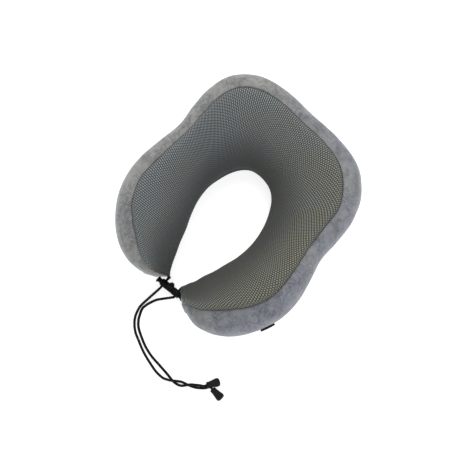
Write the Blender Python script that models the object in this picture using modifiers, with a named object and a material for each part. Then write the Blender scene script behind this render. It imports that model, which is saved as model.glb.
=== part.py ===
"""U-shaped memory-foam neck pillow with a zipped cover and a cord lock, modelled in metres, +Z up.

The pillow lies on its flat base. +Y points to the closed back of the U, +X to the right arm.
The origin is on the floor, under the middle of the pillow's bounding box.
"""
import math

import bmesh
import bpy
from mathutils import Matrix, Vector

MM = 0.001
GAP = 0.3 * MM

# Plan rails of the U, in millimetres, from the left arm tip round the back to the right arm tip.
# Each row: outer wall x, y; crest seam x, y; neck opening x, y; crest height; base lift; lower wall inset.
LIFT = 7
STATIONS = (
    (-36, -139, -32, -132, -12.5, -117, 78, 14, 8),
    (-54.5, -141, -48, -127, -15.5, -111, 89, 5, 13),
    (-78, -134.5, -64, -116, -19, -103, 98, 0, 9),
    (-100.5, -118, -80, -104, -23, -92, 104, 0, 7),
    (-116.5, -95, -94, -88, -28, -79, 109, 0, 6),
    (-124.8, -70, -102.8, -64, -33, -63, 112, 0, 6),
    (-126.8, -43, -103, -40, -39, -48, 112, 0, 6),
    (-122.6, -14, -101, -14, -43.7, -32, 110, 0, 6),
    (-117.5, 18, -98.5, 18, -46, -18, 106, 0, 6),
    (-119.8, 48, -98.8, 46, -46.5, -4.5, 104, 0, 6),
    (-118.7, 78, -97, 73, -43.8, 10, 103, 0, 6),
    (-108.3, 108.3, -87.2, 97.5, -38.5, 26, 101, 0, 6),
    (-82, 132.3, -66.2, 114, -30, 39.5, 97, 0, 6),
    (-45, 142, -36, 121.8, -18.5, 47.5, 93, 0, 6),
    (0, 142.5, 0, 121.2, -3, 49, 92, 0, 6),
    (45, 142.3, 36, 120.3, 13, 45.5, 93, 0, 6),
    (82, 132.2, 65.2, 112.2, 25.5, 35.2, 97, 0, 6),
    (108, 108, 84.8, 95, 33, 23, 101, 0, 6),
    (119.5, 78, 97.6, 73.4, 38.5, 9, 103, 0, 6),
    (121.2, 48, 99.8, 46, 41.5, -5, 104, 0, 6),
    (119.8, 18, 100.7, 18, 42.8, -18, 106, 0, 6),
    (126.3, -14, 104.5, -14, 42.3, -32, 110, 0, 6),
    (130, -43, 106, -40, 39.4, -48, 112, 0, 6),
    (127, -70, 103, -63.5, 34.4, -63, 112, 0, 6),
    (116.8, -95, 92, -85.5, 29, -79, 109, 0, 6),
    (100, -118.3, 78, -101, 23, -92, 104, 0, 7),
    (78, -135, 63.5, -115, 19, -103, 98, 0, 9),
    (55, -141.8, 48, -126.8, 14.7, -109.8, 89, 5, 13),
    (36, -139, 32, -132, 11.6, -115.8, 78, 14, 8),
)
# The arm tips close towards a pole each, left and right.
TIP_POLES = (Vector((-12, -121.5, 28)) * MM, Vector((14, -125, 28)) * MM)
TIP_RING_ANGLES = (28, 50)
TIP_DOME_ANGLES = (50, 64, 78)
TIP_DOME_SCALE = 0.62
SKEW = -0.055
SKEW_CENTRE_Y = -45 * MM

OUTER_WALL_HEIGHT = 0.50
NECK_WALL_HEIGHT = 0.36
SEAM_DROP = 5 * MM
BASE_INSET_OUTER = 16 * MM
BASE_INSET_INNER = 10 * MM
RINGS_PER_STATION = 2

# A cross-section has this many knots, of which the others name the seams and the neck wall.
SECTION_KNOTS = 12
SECTION_STEPS = 12
SECTION_SKIP = 6
SEAM_KNOT = 2
NECK_KNOT = 7
BASE_INNER_KNOT = 9
BASE_OUTER_KNOT = 10

# Cover and foam.
COVER_THICKNESS = 1.8 * MM
FOAM_INSET = 4.2 * MM
FOAM_TAPER_START = 11.5
FOAM_TAPER = 0.6
FOAM_END = 13
CREST_SEAM_GAP = 0.5 * MM
BASE_SEAM_GAP = 1.5 * MM

# Zip, on a circular arc in a shallow flat-bottomed valley of the base.
ZIP_CENTRE = Vector((0, -5, 0)) * MM
ZIP_RADIUS = 96 * MM
ZIP_HALF_ANGLE = 57.0
ZIP_VALLEY_DEPTH = 7 * MM
ZIP_VALLEY_FLAT = 14 * MM
ZIP_VALLEY_HALF_WIDTH = 26 * MM
ZIP_VALLEY_FULL = 60.0
ZIP_VALLEY_END = 72.0
ZIP_VALLEY_TOP = 30 * MM
ZIP_SLOT_HALF_WIDTH = 3.7 * MM
ZIP_TAPE_BOTTOM = 9.2 * MM
ZIP_TAPE_WIDTH = 8 * MM
ZIP_TAPE_THICKNESS = 0.6 * MM
ZIP_COIL_WIDTH = 1.4 * MM
ZIP_COIL_HEIGHT = 1.4 * MM
ZIP_STOP_LENGTH = 2.4 * MM
ZIP_SLIDER_ANGLE = 50.0
ZIP_SLIDER_LENGTH = 9 * MM
ZIP_SLIDER_WIDTH = 6.2 * MM
ZIP_SLIDER_PLATE = 1.2 * MM
ZIP_SLIDER_WALL = 0.8 * MM
ZIP_CROWN_LENGTH = 5 * MM
ZIP_CROWN_WIDTH = 2 * MM
ZIP_CROWN_BOTTOM = 2.6 * MM
ZIP_PULL_LENGTH = 22 * MM
ZIP_PULL_WIDTH = 5 * MM
ZIP_PULL_THICKNESS = 1.2 * MM
ZIP_FORK_REACH = 4 * MM
ZIP_LUG_NOSE = 0.6 * MM
ZIP_PIN_RADIUS = 0.55 * MM

# Blank patch on the outer wall of the right arm, between two places along the arm.
PATCH_START = 9.25
PATCH_END = 9.93
PATCH_HEIGHT = 12 * MM
PATCH_STANDOFF = 0.5 * MM
PATCH_THICKNESS = 1.8 * MM
PATCH_STEPS = 6

# Cord lock: a socket half and a plug half clipped together on one axis, each with a sprung plunger.
LOCK_CENTRE = Vector((3.4, -129.8, 8.8)) * MM
LOCK_TURN = 4.5
LOCK_RADIUS = 4.7 * MM
LOCK_EDGE = 0.4 * MM
LOCK_HALF_LENGTH = 14.4 * MM
LOCK_JOINT_PLANE = 3.0 * MM
LOCK_BORE_RADIUS = 3.4 * MM
LOCK_BORE_FLOOR = 4.0 * MM
LOCK_CAVITY_RADIUS = 2.9 * MM
LOCK_CAVITY_FLOOR = 2.3 * MM
STUD_RADIUS = 2.5 * MM
STUD_NECK_RADIUS = 1.9 * MM
STUD_END = 1.9 * MM
STUD_EDGE = 0.4 * MM
CORD_HOLE_OFFSET = 10.2 * MM
CORD_HOLE_RADIUS = 1.95 * MM
PLUNGER_RADIUS = 3.1 * MM
PLUNGER_INNER_END = 7.4 * MM
PLUNGER_SLOT_START = 8.4 * MM
PLUNGER_SLOT_END = 14.0 * MM
PLUNGER_FLANGE_START = 18.2 * MM
PLUNGER_END = 20.2 * MM
PLUNGER_FLANGE_RADIUS = 4.3 * MM
PLUNGER_EDGE = 0.3 * MM
SPRING_RADIUS = 2.3 * MM
SPRING_WIRE_RADIUS = 0.25 * MM
SPRING_TURNS = 3
SPRING_POINTS_PER_TURN = 10
LATCH_OFFSET = -1.2 * MM
LATCH_PAD = Vector((4.0, 2.6, 5.0)) * MM
LATCH_PAD_BOTTOM = 5.0 * MM
LATCH_POCKET_FLOOR = 4.0 * MM
LATCH_STEM = Vector((2.2, 2.0, 3.4)) * MM
LATCH_STEM_BOTTOM = 3.3 * MM
LATCH_CLEARANCE = 0.3 * MM

# Cords. The route points are in millimetres, from the arm tip to the bell end.
CORD_RADIUS = 1.5 * MM
CORD_SPACING = 7.0 * MM
LEAD_SPACING = 3.0 * MM
LEAD_POINTS = 6
LEFT_CORD_ROUTE = (
    (-6.6, -122.0, 24.0), (-5.9, -120.8, 17.5), (-6.4, -121.6, 11.8), (-7.1, -125, 9.1), (-6.77, -130.6, 8.8),
    (-6.3, -136.6, 8.8), (-6.4, -141, 8.7), (-7.0, -146.9, 8), (-7.9, -154.4, 5.6), (-8.8, -161.9, 3),
    (-9.4, -169, 1.7), (-8.7, -175.2, 1.5), (-4.9, -185.2, 1.5), (1.3, -193, 1.5), (9.2, -199.1, 1.5),
    (18.9, -203.6, 1.5), (28.7, -207.9, 1.5), (39.2, -211.5, 1.5), (50.6, -214.3, 1.5), (61.6, -216.4, 1.5),
    (71.8, -216.1, 1.7), (78, -213.6, 3.6), (82.8, -210.6, 4.9), (88.4, -206.4, 3.4), (92.4, -203.8, 1.7),
    (97, -202.2, 1.5), (101.3, -200.8, 1.5), (106, -198.9, 1.5), (110.3, -196.6, 1.5), (114.6, -193.3, 1.5),
    (118.6, -189.6, 1.9),
)
RIGHT_CORD_ROUTE = (
    (14.9, -124.6, 24.5), (14.2, -120.2, 17.5), (13.6, -119.4, 11.9), (13.2, -123.0, 9.0),
    (13.57, -129.0, 8.8), (13.9, -134.2, 8.8), (11.7, -137.8, 8.9), (6.0, -144.8, 8.4), (0.4, -152.0, 6.3),
    (-3.3, -160.2, 3.4), (-5, -166.2, 1.9), (-5.4, -172.1, 1.5), (-2.4, -179.4, 1.5), (1.5, -186, 1.5),
    (8.7, -192.8, 1.5),
    (22.7, -200, 1.5), (32.9, -203.9, 1.5), (44.5, -206.5, 1.5), (57, -207.6, 1.5), (69, -208.6, 1.5),
    (78, -209.6, 1.5), (84, -210.4, 1.5), (91, -209.5, 1.5), (95.4, -207.4, 1.9), (98.2, -204.4, 3.8),
    (100.6, -201, 5.1), (103.6, -197.6, 5.2), (107.6, -194.6, 5.4), (111.4, -191.6, 6.6),
)

# Bell ends, one on each cord. Each turn is measured in plan from +X, each tilt from the floor.
LEFT_BELL_START = Vector((126.0, -184.2, 4.0)) * MM
LEFT_BELL_ANGLES = (-2, 6)
RIGHT_BELL_START = Vector((118.0, -185.4, 9.2)) * MM
RIGHT_BELL_ANGLES = (59, -13)
BELL_PROFILE = (
    (4.5, 16.4), (5.2, 15.8), (5.4, 14.2), (5.0, 11.0), (4.2, 7), (3.6, 3.5), (3.5, 1), (3.2, 0.2), (2.0, 0),
    (2.0, 9.0), (3.6, 9.5), (4.0, 15.6),
)
BELL_CORD_DEPTH = 8.6 * MM
BELL_LEAD_IN = 3.5 * MM
KNOT_RADIUS = 2.6 * MM
KNOT_DEPTH = 11.6 * MM

COLLECTION = "neck_pillow"


def clear_scene():
    """Empties the scene and makes the collections for the parts and the cutters."""
    for item in list(bpy.data.objects):
        bpy.data.objects.remove(item, do_unlink=True)
    for name in (COLLECTION, "cutters"):
        collection = bpy.data.collections.new(name)
        bpy.context.scene.collection.children.link(collection)


def material(name, colour, roughness, metallic=0.0):
    """A Principled material with one colour."""
    made = bpy.data.materials.new(name)
    made.use_nodes = True
    shader = made.node_tree.nodes["Principled BSDF"]
    shader.inputs["Base Color"].default_value = (*colour, 1.0)
    shader.inputs["Roughness"].default_value = roughness
    shader.inputs["Metallic"].default_value = metallic
    made.diffuse_color = (*colour, 1.0)
    return made


def add_object(name, data, finish=None, collection=COLLECTION, parent=None):
    """Links a new object and gives it its material."""
    item = bpy.data.objects.new(name, data)
    bpy.data.collections[collection].objects.link(item)
    if finish is not None:
        data.materials.append(finish)
    item.parent = parent
    return item


def mesh_object(name, points, faces, finish, smooth=True):
    """A mesh object from computed points and faces."""
    data = bpy.data.meshes.new(name)
    data.from_pydata(points, [], faces)
    data.update()
    if smooth:
        data.shade_smooth()
    return add_object(name, data, finish)


# ---------------------------------------------------------------- pillow surface


def catmull(a, b, c, d, t):
    """The point at t between b and c on the smooth curve through a, b, c and d."""
    return 0.5 * (
        2 * b + (c - a) * t + (2 * a - 5 * b + 4 * c - d) * t * t + (3 * b - a - 3 * c + d) * t * t * t
    )


def station_rows():
    """The stations as lists of metres."""
    return [[value * MM for value in row] for row in STATIONS]


def station_at(rows, place):
    """A row of rail values at a place between stations."""
    index = min(int(place), len(rows) - 2)
    picked = [rows[min(max(index + k, 0), len(rows) - 1)] for k in (-1, 0, 1, 2)]
    row = [catmull(*values, place - index) for values in zip(*picked)]
    row[LIFT] = max(row[LIFT], 0.0)
    return row


def ease(value):
    """A smooth step from 0 to 1."""
    value = min(max(value, 0.0), 1.0)
    return value * value * (3 - 2 * value)


def valley(x, y):
    """How far the base is drawn up around the zip."""
    across = abs(math.hypot(x - ZIP_CENTRE.x, y - ZIP_CENTRE.y) - ZIP_RADIUS)
    angle = abs(math.degrees(math.atan2(x - ZIP_CENTRE.x, y - ZIP_CENTRE.y)))
    side = ease((ZIP_VALLEY_HALF_WIDTH - across) / (ZIP_VALLEY_HALF_WIDTH - ZIP_VALLEY_FLAT))
    end = ease((ZIP_VALLEY_END - angle) / (ZIP_VALLEY_END - ZIP_VALLEY_FULL))
    return ZIP_VALLEY_DEPTH * side * end


def section_knots(row):
    """The knots of one cross-section: outer wall, over the crest, down the neck wall and along the base."""
    outer = Vector((row[0], row[1], 0))
    seam = Vector((row[2], row[3], 0))
    neck = Vector((row[4], row[5], 0))
    crest, lift, inset = row[6], row[7], row[8]
    inward = (neck - outer).normalized()
    width = (neck - outer).length
    base_outer = min(BASE_INSET_OUTER, 0.28 * width) + inset
    base_inner = min(BASE_INSET_INNER, 0.25 * width)
    wall_z = OUTER_WALL_HEIGHT * crest
    seam_z = crest - SEAM_DROP
    neck_z = NECK_WALL_HEIGHT * crest
    rise = crest - neck_z

    def at(point, height):
        return Vector((point.x, point.y, height))

    return [
        at(outer, wall_z),
        at(outer.lerp(seam, 0.25), wall_z + 0.68 * (seam_z - wall_z)),
        at(seam, seam_z),
        at(seam.lerp(neck, 0.15), crest),
        at(seam.lerp(neck, 0.40), neck_z + 0.87 * rise),
        at(seam.lerp(neck, 0.64), neck_z + 0.64 * rise),
        at(seam.lerp(neck, 0.85), neck_z + 0.34 * rise),
        at(neck, neck_z),
        at(neck - inward * 2.5 * MM, lift + 0.30 * (neck_z - lift)),
        at(neck - inward * base_inner, lift),
        at(outer + inward * base_outer, lift),
        at(outer + inward * inset, lift + 0.32 * (wall_z - lift)),
    ]


def section_curve(knots, lift):
    """A closed section as a dense list of points, with SECTION_STEPS points for each knot."""
    count = len(knots)
    points = []
    for i in range(count):
        around = [knots[(i + k) % count] for k in (-1, 0, 1, 2)]
        for step in range(SECTION_STEPS):
            point = catmull(*around, step / SECTION_STEPS)
            point.z = max(point.z, lift)
            points.append(point)
    return points


def finish_point(point):
    """Leans the whole plan by the skew and draws the base up around the zip."""
    x = point.x + SKEW * (point.y - SKEW_CENTRE_Y)
    height = point.z + valley(x, point.y) * max(0.0, 1 - point.z / ZIP_VALLEY_TOP)
    return Vector((x, point.y, height))


def inset_curve(points, distance):
    """Moves a closed section inwards, square to its own outline."""
    count = len(points)
    across = (points[NECK_KNOT * SECTION_STEPS] - points[0]).normalized()
    up = Vector((0, 0, 1))
    moved = []
    for i, point in enumerate(points):
        along = points[(i + 2) % count] - points[i - 2]
        flat = Vector((along.dot(across), along.z))
        flat.normalize()
        moved.append(point + (across * flat.y - up * flat.x) * distance)
    return moved


def pillow_rings():
    """The rings of the whole cover from the left tip to the right tip, each a dense closed curve."""
    rows = station_rows()
    rings = []
    for k in range((len(rows) - 1) * RINGS_PER_STATION + 1):
        row = station_at(rows, k / RINGS_PER_STATION)
        rings.append(section_curve(section_knots(row), row[LIFT]))
    left_cap = [cap_ring(rings[0], -1, angle) for angle in reversed(TIP_RING_ANGLES)]
    right_cap = [cap_ring(rings[-1], 1, angle) for angle in TIP_RING_ANGLES]
    return left_cap + rings + right_cap


def foam_rings():
    """The rings of the foam, which is set in further towards the arm tips and ends short of them."""
    rows = station_rows()
    middle = len(STATIONS) // 2
    rings = []
    for k in range(round(2 * FOAM_END * RINGS_PER_STATION) + 1):
        place = k / RINGS_PER_STATION - FOAM_END
        row = station_at(rows, middle + place)
        taper = max(0.0, abs(place) - FOAM_TAPER_START) / (FOAM_END - FOAM_TAPER_START)
        inset = FOAM_INSET * (1 + FOAM_TAPER * taper)
        rings.append(inset_curve(section_curve(section_knots(row), row[LIFT]), inset))
    return rings


def cap_ring(ring, side, angle):
    """One shrinking ring of the rounded arm tip, which leaves the last section squarely."""
    centre = sum(ring, Vector()) / len(ring)
    offset = TIP_POLES[side > 0] - centre
    across = (ring[NECK_KNOT * len(ring) // SECTION_KNOTS] - ring[0]).normalized()
    forward = Vector((across.y, -across.x, 0)).normalized() * side
    reach = forward * offset.dot(forward)
    drift = offset - forward * offset.dot(forward)
    turn = math.radians(angle)
    shrink = math.cos(turn)
    moved = drift * (1 - shrink) + reach * math.sin(turn)
    return [centre + (point - centre) * shrink + moved for point in ring]


def arc_lengths(ring):
    """Distances along a closed ring, starting at its first point."""
    lengths = [0.0]
    for i in range(len(ring)):
        lengths.append(lengths[-1] + (ring[(i + 1) % len(ring)] - ring[i]).length)
    return lengths


def point_along(ring, lengths, distance):
    """The point at a distance along a closed ring, which may pass its start."""
    distance %= lengths[-1]
    low = 0
    while lengths[low + 1] < distance:
        low += 1
    part = (distance - lengths[low]) / (lengths[low + 1] - lengths[low])
    return ring[low].lerp(ring[(low + 1) % len(ring)], part)


def kept_points(first_knot, last_knot):
    """Which of a section's points a panel or the foam uses: all along the base, fewer elsewhere."""
    total = SECTION_KNOTS * SECTION_STEPS
    start, end = first_knot * SECTION_STEPS, last_knot * SECTION_STEPS
    if end <= start:
        end += total
    base = range(BASE_INNER_KNOT * SECTION_STEPS, BASE_OUTER_KNOT * SECTION_STEPS)
    return [i for i in range(start, end) if i % total in base or i % SECTION_SKIP == 0] + [end]


def panel_points(rings, first_knot, last_knot):
    """A grid of points on the pillow between two seams, half a seam gap inside each."""
    kept = kept_points(first_knot, last_knot)
    gaps = [CREST_SEAM_GAP if knot == SEAM_KNOT else BASE_SEAM_GAP for knot in (first_knot, last_knot)]
    grid = []
    for ring in rings:
        lengths = arc_lengths(ring)
        row = [ring[i % len(ring)] for i in kept]
        row[0] = point_along(ring, lengths, lengths[kept[0]] + gaps[0])
        row[-1] = point_along(ring, lengths, lengths[kept[-1] % len(ring)] - gaps[1])
        grid.append(row)
    return grid


def grid_faces(rows, columns):
    """Quads of a grid of points."""
    faces = []
    for r in range(rows - 1):
        for c in range(columns - 1):
            corner = r * columns + c
            faces.append((corner, corner + 1, corner + columns + 1, corner + columns))
    return faces


def cover_panel(name, first_knot, last_knot, finish):
    """One fabric panel of the cover: an open sheet on the pillow's surface, thickened inwards."""
    grid = panel_points(pillow_rings(), first_knot, last_knot)
    points = [finish_point(point) for row in grid for point in row]
    panel = mesh_object(name, points, grid_faces(len(grid), len(grid[0])), finish)
    solidify = panel.modifiers.new("thickness", "SOLIDIFY")
    solidify.thickness = COVER_THICKNESS
    solidify.offset = -1.0
    return panel


def loft(name, rings, finish, pole=None):
    """A solid through closed rings, flat at its first ring and flat or pointed at its last."""
    columns = len(rings[0])
    points = [point for ring in rings for point in ring]
    faces = [tuple(reversed(range(columns)))]
    for r in range(len(rings) - 1):
        for c in range(columns):
            after = (c + 1) % columns
            here, beyond = r * columns, (r + 1) * columns
            faces.append((here + c, here + after, beyond + after, beyond + c))
    last = (len(rings) - 1) * columns
    if pole is None:
        faces.append(tuple(range(last, last + columns)))
    else:
        points.append(pole)
        faces += [(last + c, last + (c + 1) % columns, len(points) - 1) for c in range(columns)]
    return mesh_object(name, points, faces, finish)


def foam_core(finish):
    """The moulded foam inside the cover, flat-ended inside the arm tips."""
    kept = kept_points(0, 0)[:-1]
    rings = [[finish_point(ring[i]) for i in kept] for ring in foam_rings()]
    return loft("foam_core", rings, finish)


def tip_gusset(name, side, finish):
    """The small domed piece of mesh that closes an arm tip, with the cord's end sewn into it."""
    rows = station_rows()
    row = rows[0] if side < 0 else rows[-1]
    end = section_curve(section_knots(row), row[LIFT])[::SECTION_SKIP]
    rings = []
    for angle in TIP_DOME_ANGLES:
        ring = cap_ring(end, side, angle)
        centre = sum(ring, Vector()) / len(ring)
        rings.append([finish_point(centre.lerp(point, TIP_DOME_SCALE)) for point in ring])
    if side < 0:
        rings = [ring[::-1] for ring in rings]
    pole = finish_point(TIP_POLES[side > 0])
    return loft(name, rings, finish, pole)


def side_patch(finish):
    """The blank moulded patch on the outer wall of the right arm."""
    rows = station_rows()
    grid = []
    for k in range(PATCH_STEPS + 1):
        place = len(STATIONS) // 2 + PATCH_START + (PATCH_END - PATCH_START) * k / PATCH_STEPS
        row = station_at(rows, place)
        ring = inset_curve(section_curve(section_knots(row), row[LIFT]), -PATCH_STANDOFF)
        lengths = arc_lengths(ring)
        distances = [PATCH_HEIGHT * (c / PATCH_STEPS - 0.5) for c in range(PATCH_STEPS + 1)]
        grid.append([point_along(ring, lengths, distance) for distance in distances])
    points = [finish_point(point) for row in grid for point in row]
    patch = mesh_object("side_patch", points, grid_faces(len(grid), len(grid[0])), finish)
    solidify = patch.modifiers.new("thickness", "SOLIDIFY")
    solidify.thickness = PATCH_THICKNESS
    solidify.offset = 1.0
    return patch


def build_pillow():
    """Foam core, the three panels of the cover, the tip gussets and the patch."""
    foam = material("memory_foam", (0.82, 0.80, 0.72), 0.9)
    velvet = material("grey_velvet", (0.36, 0.36, 0.38), 0.8)
    mesh = material("dark_mesh", (0.13, 0.14, 0.14), 0.85)
    rubber = material("black_rubber", (0.015, 0.015, 0.017), 0.6)
    foam_core(foam)
    cover_panel("mesh_panel", SEAM_KNOT, BASE_INNER_KNOT, mesh)
    cover_panel("velvet_side_band", BASE_OUTER_KNOT, SEAM_KNOT, velvet)
    base = cover_panel("velvet_base_panel", BASE_INNER_KNOT, BASE_OUTER_KNOT, velvet)
    radii = (ZIP_RADIUS - ZIP_SLOT_HALF_WIDTH, ZIP_RADIUS + ZIP_SLOT_HALF_WIDTH)
    slot = arc_bar("zip_slot", radii, (-5 * MM, 20 * MM), ZIP_HALF_ANGLE, None, "cutters")
    cut(base, slot)
    tip_gusset("left_tip_gusset", -1, mesh)
    tip_gusset("right_tip_gusset", 1, mesh)
    side_patch(rubber)


# ---------------------------------------------------------------- shared tools


def cut(target, cutter, operation="DIFFERENCE"):
    """A Boolean of the target with a cutter, which isn't part of the model."""
    cutter.hide_render = True
    cutter.display_type = "WIRE"
    boolean = target.modifiers.new(cutter.name, "BOOLEAN")
    boolean.operation = operation
    boolean.object = cutter


def box(name, size, centre, finish=None, parent=None, collection=COLLECTION, edge=0.0):
    """A box from a cube primitive, its scale in its mesh, with bevelled edges where edge is given."""
    data = bpy.data.meshes.new(name)
    shape = bmesh.new()
    bmesh.ops.create_cube(shape, size=1.0)
    bmesh.ops.scale(shape, vec=size, verts=shape.verts)
    bmesh.ops.translate(shape, vec=centre, verts=shape.verts)
    shape.to_mesh(data)
    shape.free()
    item = add_object(name, data, finish, collection, parent)
    if edge:
        bevel = item.modifiers.new("edge", "BEVEL")
        bevel.width = edge
        bevel.segments = 2
    return item


def rod(name, radius, start, end, parent, sides=20):
    """A cylinder between two points, used as a cutter or joined to another piece."""
    data = bpy.data.meshes.new(name)
    along = end - start
    shape = bmesh.new()
    size = {"radius1": radius, "radius2": radius, "depth": along.length}
    bmesh.ops.create_cone(shape, cap_ends=True, segments=sides, **size)
    turn = Vector((0, 0, 1)).rotation_difference(along).to_matrix().to_4x4()
    shape.transform(Matrix.Translation((start + end) / 2) @ turn)
    shape.to_mesh(data)
    shape.free()
    return add_object(name, data, collection="cutters", parent=parent)


def turned(name, profile, finish, parent=None, steps=28, closed=False):
    """A turned piece about its own Z: the profile's radius and height, down its outer side."""
    data = bpy.data.meshes.new(name)
    edges = [(i, i + 1) for i in range(len(profile) - 1)]
    if closed:
        edges.append((len(profile) - 1, 0))
    data.from_pydata([(radius, 0, height) for radius, height in profile], edges, [])
    item = add_object(name, data, finish, parent=parent)
    screw = item.modifiers.new("turn", "SCREW")
    screw.axis = "Z"
    screw.steps = steps
    screw.render_steps = steps
    screw.use_merge_vertices = True
    screw.merge_threshold = 0.00001
    screw.use_smooth_shade = True
    return item


def arc_bar(name, radii, heights, half_angle, finish, collection=COLLECTION, steps=36):
    """A bar of rectangular section that follows the zip's circle."""
    inner, outer = sorted(radii)
    bottom, top = heights
    corners = ((inner, bottom), (outer, bottom), (outer, top), (inner, top))
    points = []
    for k in range(steps + 1):
        angle = math.radians(half_angle * (2 * k / steps - 1))
        for radius, height in corners:
            points.append(ZIP_CENTRE + Vector((radius * math.sin(angle), radius * math.cos(angle), height)))
    faces = [(3, 2, 1, 0), tuple(4 * steps + i for i in (0, 1, 2, 3))]
    for k in range(steps):
        for i in range(4):
            after = (i + 1) % 4
            faces.append((4 * k + i, 4 * k + after, 4 * k + 4 + after, 4 * k + 4 + i))
    data = bpy.data.meshes.new(name)
    data.from_pydata(points, [], faces)
    data.update()
    return add_object(name, data, finish, collection)


def smooth_route(route, spacing):
    """Evenly spaced points on a smooth curve through the route's points."""
    ends = [route[0] * 2 - route[1]] + list(route) + [route[-1] * 2 - route[-2]]
    dense = []
    for i in range(len(route) - 1):
        dense += [catmull(*ends[i:i + 4], step / 12) for step in range(12)]
    dense.append(route[-1])
    lengths = [0.0]
    for before, after in zip(dense, dense[1:]):
        lengths.append(lengths[-1] + (after - before).length)
    count = max(2, round(lengths[-1] / spacing))
    points = []
    low = 0
    for k in range(count + 1):
        distance = lengths[-1] * k / count
        while low < len(dense) - 2 and lengths[low + 1] < distance:
            low += 1
        part = (distance - lengths[low]) / (lengths[low + 1] - lengths[low])
        points.append(dense[low].lerp(dense[low + 1], part))
    return points


def tube(name, points, radius, finish, parent=None):
    """A round wire or cord along points."""
    data = bpy.data.curves.new(name, "CURVE")
    data.dimensions = "3D"
    data.bevel_depth = radius
    data.bevel_resolution = 2
    data.use_fill_caps = True
    spline = data.splines.new("POLY")
    spline.points.add(len(points) - 1)
    for slot, point in zip(spline.points, points):
        slot.co = (*point, 1.0)
    return add_object(name, data, finish, parent=parent)


# ---------------------------------------------------------------- zip


def build_zip():
    """Tapes, coils and stops on the zip's arc, and the slider with its pull."""
    nylon = material("grey_nylon", (0.10, 0.10, 0.11), 0.7)
    metal = material("black_metal", (0.03, 0.03, 0.035), 0.35, 0.9)
    tape_top = ZIP_TAPE_BOTTOM + ZIP_TAPE_THICKNESS
    coil_top = ZIP_TAPE_BOTTOM - GAP
    coil_bottom = coil_top - ZIP_COIL_HEIGHT
    stop_angle = math.degrees(ZIP_STOP_LENGTH / ZIP_RADIUS)
    coil_angle = ZIP_HALF_ANGLE - stop_angle - 0.6
    for name, side in (("inner", -1), ("outer", 1)):
        near = ZIP_RADIUS + side * GAP / 2
        tape_far = near + side * ZIP_TAPE_WIDTH
        coil_far = near + side * ZIP_COIL_WIDTH
        tape_heights = (ZIP_TAPE_BOTTOM, tape_top)
        arc_bar("zip_tape_" + name, (near, tape_far), tape_heights, ZIP_HALF_ANGLE, nylon)
        arc_bar("zip_coil_" + name, (near, coil_far), (coil_bottom, coil_top), coil_angle, nylon)
    for name, side in (("left", -1), ("right", 1)):
        stop = box(
            "zip_stop_" + name,
            Vector((ZIP_STOP_LENGTH, 2 * ZIP_COIL_WIDTH, ZIP_COIL_HEIGHT)),
            Vector((0, ZIP_RADIUS, (coil_top + coil_bottom) / 2)),
            metal,
            edge=0.2 * MM,
        )
        stop.location = ZIP_CENTRE
        stop.rotation_euler.z = -side * math.radians(coil_angle + 0.7 * stop_angle)
    zip_slider(metal, coil_bottom - GAP)


def zip_slider(metal, plate_top):
    """The slider, which runs round the zip's circle, and the pull that swings on its crown."""
    plate_bottom = plate_top - ZIP_SLIDER_PLATE
    slider = box(
        "zip_slider",
        Vector((ZIP_SLIDER_LENGTH, ZIP_SLIDER_WIDTH, plate_top - plate_bottom)),
        Vector((0, ZIP_RADIUS, (plate_top + plate_bottom) / 2)),
        metal,
    )
    slider.location = ZIP_CENTRE
    slider.rotation_euler.z = -math.radians(ZIP_SLIDER_ANGLE)
    wall_top = ZIP_TAPE_BOTTOM - GAP
    for side in (-1, 1):
        wall_radius = ZIP_RADIUS + side * (ZIP_SLIDER_WIDTH - ZIP_SLIDER_WALL) / 2
        wall = box(
            "slider_wall_%d" % side,
            Vector((ZIP_SLIDER_LENGTH, ZIP_SLIDER_WALL, wall_top - plate_bottom)),
            Vector((0, wall_radius, (wall_top + plate_bottom) / 2)),
            collection="cutters",
            parent=slider,
        )
        cut(slider, wall, "UNION")
    crown = box(
        "slider_crown",
        Vector((ZIP_CROWN_LENGTH, ZIP_CROWN_WIDTH, plate_top - ZIP_CROWN_BOTTOM)),
        Vector((0, ZIP_RADIUS, (plate_top + ZIP_CROWN_BOTTOM) / 2)),
        collection="cutters",
        parent=slider,
    )
    cut(slider, crown, "UNION")
    pin_height = (plate_bottom + ZIP_CROWN_BOTTOM) / 2
    hole_ends = [Vector((0, ZIP_RADIUS + side * ZIP_CROWN_WIDTH, pin_height)) for side in (-1, 1)]
    cut(slider, rod("crown_hole", ZIP_PIN_RADIUS + GAP, *hole_ends, parent=slider, sides=16))
    zip_pull(slider, metal, pin_height)


def zip_pull(slider, metal, pin_height):
    """The pull tab: a plate with two lugs and a pin through the slider's crown."""
    lug_gap = ZIP_CROWN_WIDTH + 2 * GAP
    pull = box(
        "zip_pull",
        Vector((ZIP_PULL_LENGTH - ZIP_FORK_REACH, ZIP_PULL_WIDTH, ZIP_PULL_THICKNESS)),
        Vector((-(ZIP_PULL_LENGTH + ZIP_FORK_REACH) / 2, 0, 0)),
        metal,
        parent=slider,
    )
    pull.location = Vector((0, ZIP_RADIUS, pin_height))
    lug_width = (ZIP_PULL_WIDTH - lug_gap) / 2
    lug_start = -ZIP_FORK_REACH - 2 * ZIP_LUG_NOSE
    for side in (-1, 1):
        lug = box(
            "pull_lug_%d" % side,
            Vector((ZIP_LUG_NOSE - lug_start, lug_width, ZIP_PULL_THICKNESS)),
            Vector(((ZIP_LUG_NOSE + lug_start) / 2, side * (lug_gap + lug_width) / 2, 0)),
            collection="cutters",
            parent=pull,
        )
        cut(pull, lug, "UNION")
    reach = (ZIP_PULL_WIDTH - lug_width) / 2
    pin_ends = [Vector((0, side * reach, 0)) for side in (-1, 1)]
    cut(pull, rod("pull_pin", ZIP_PIN_RADIUS, *pin_ends, parent=pull, sides=16), "UNION")


# ---------------------------------------------------------------- cord lock


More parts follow.
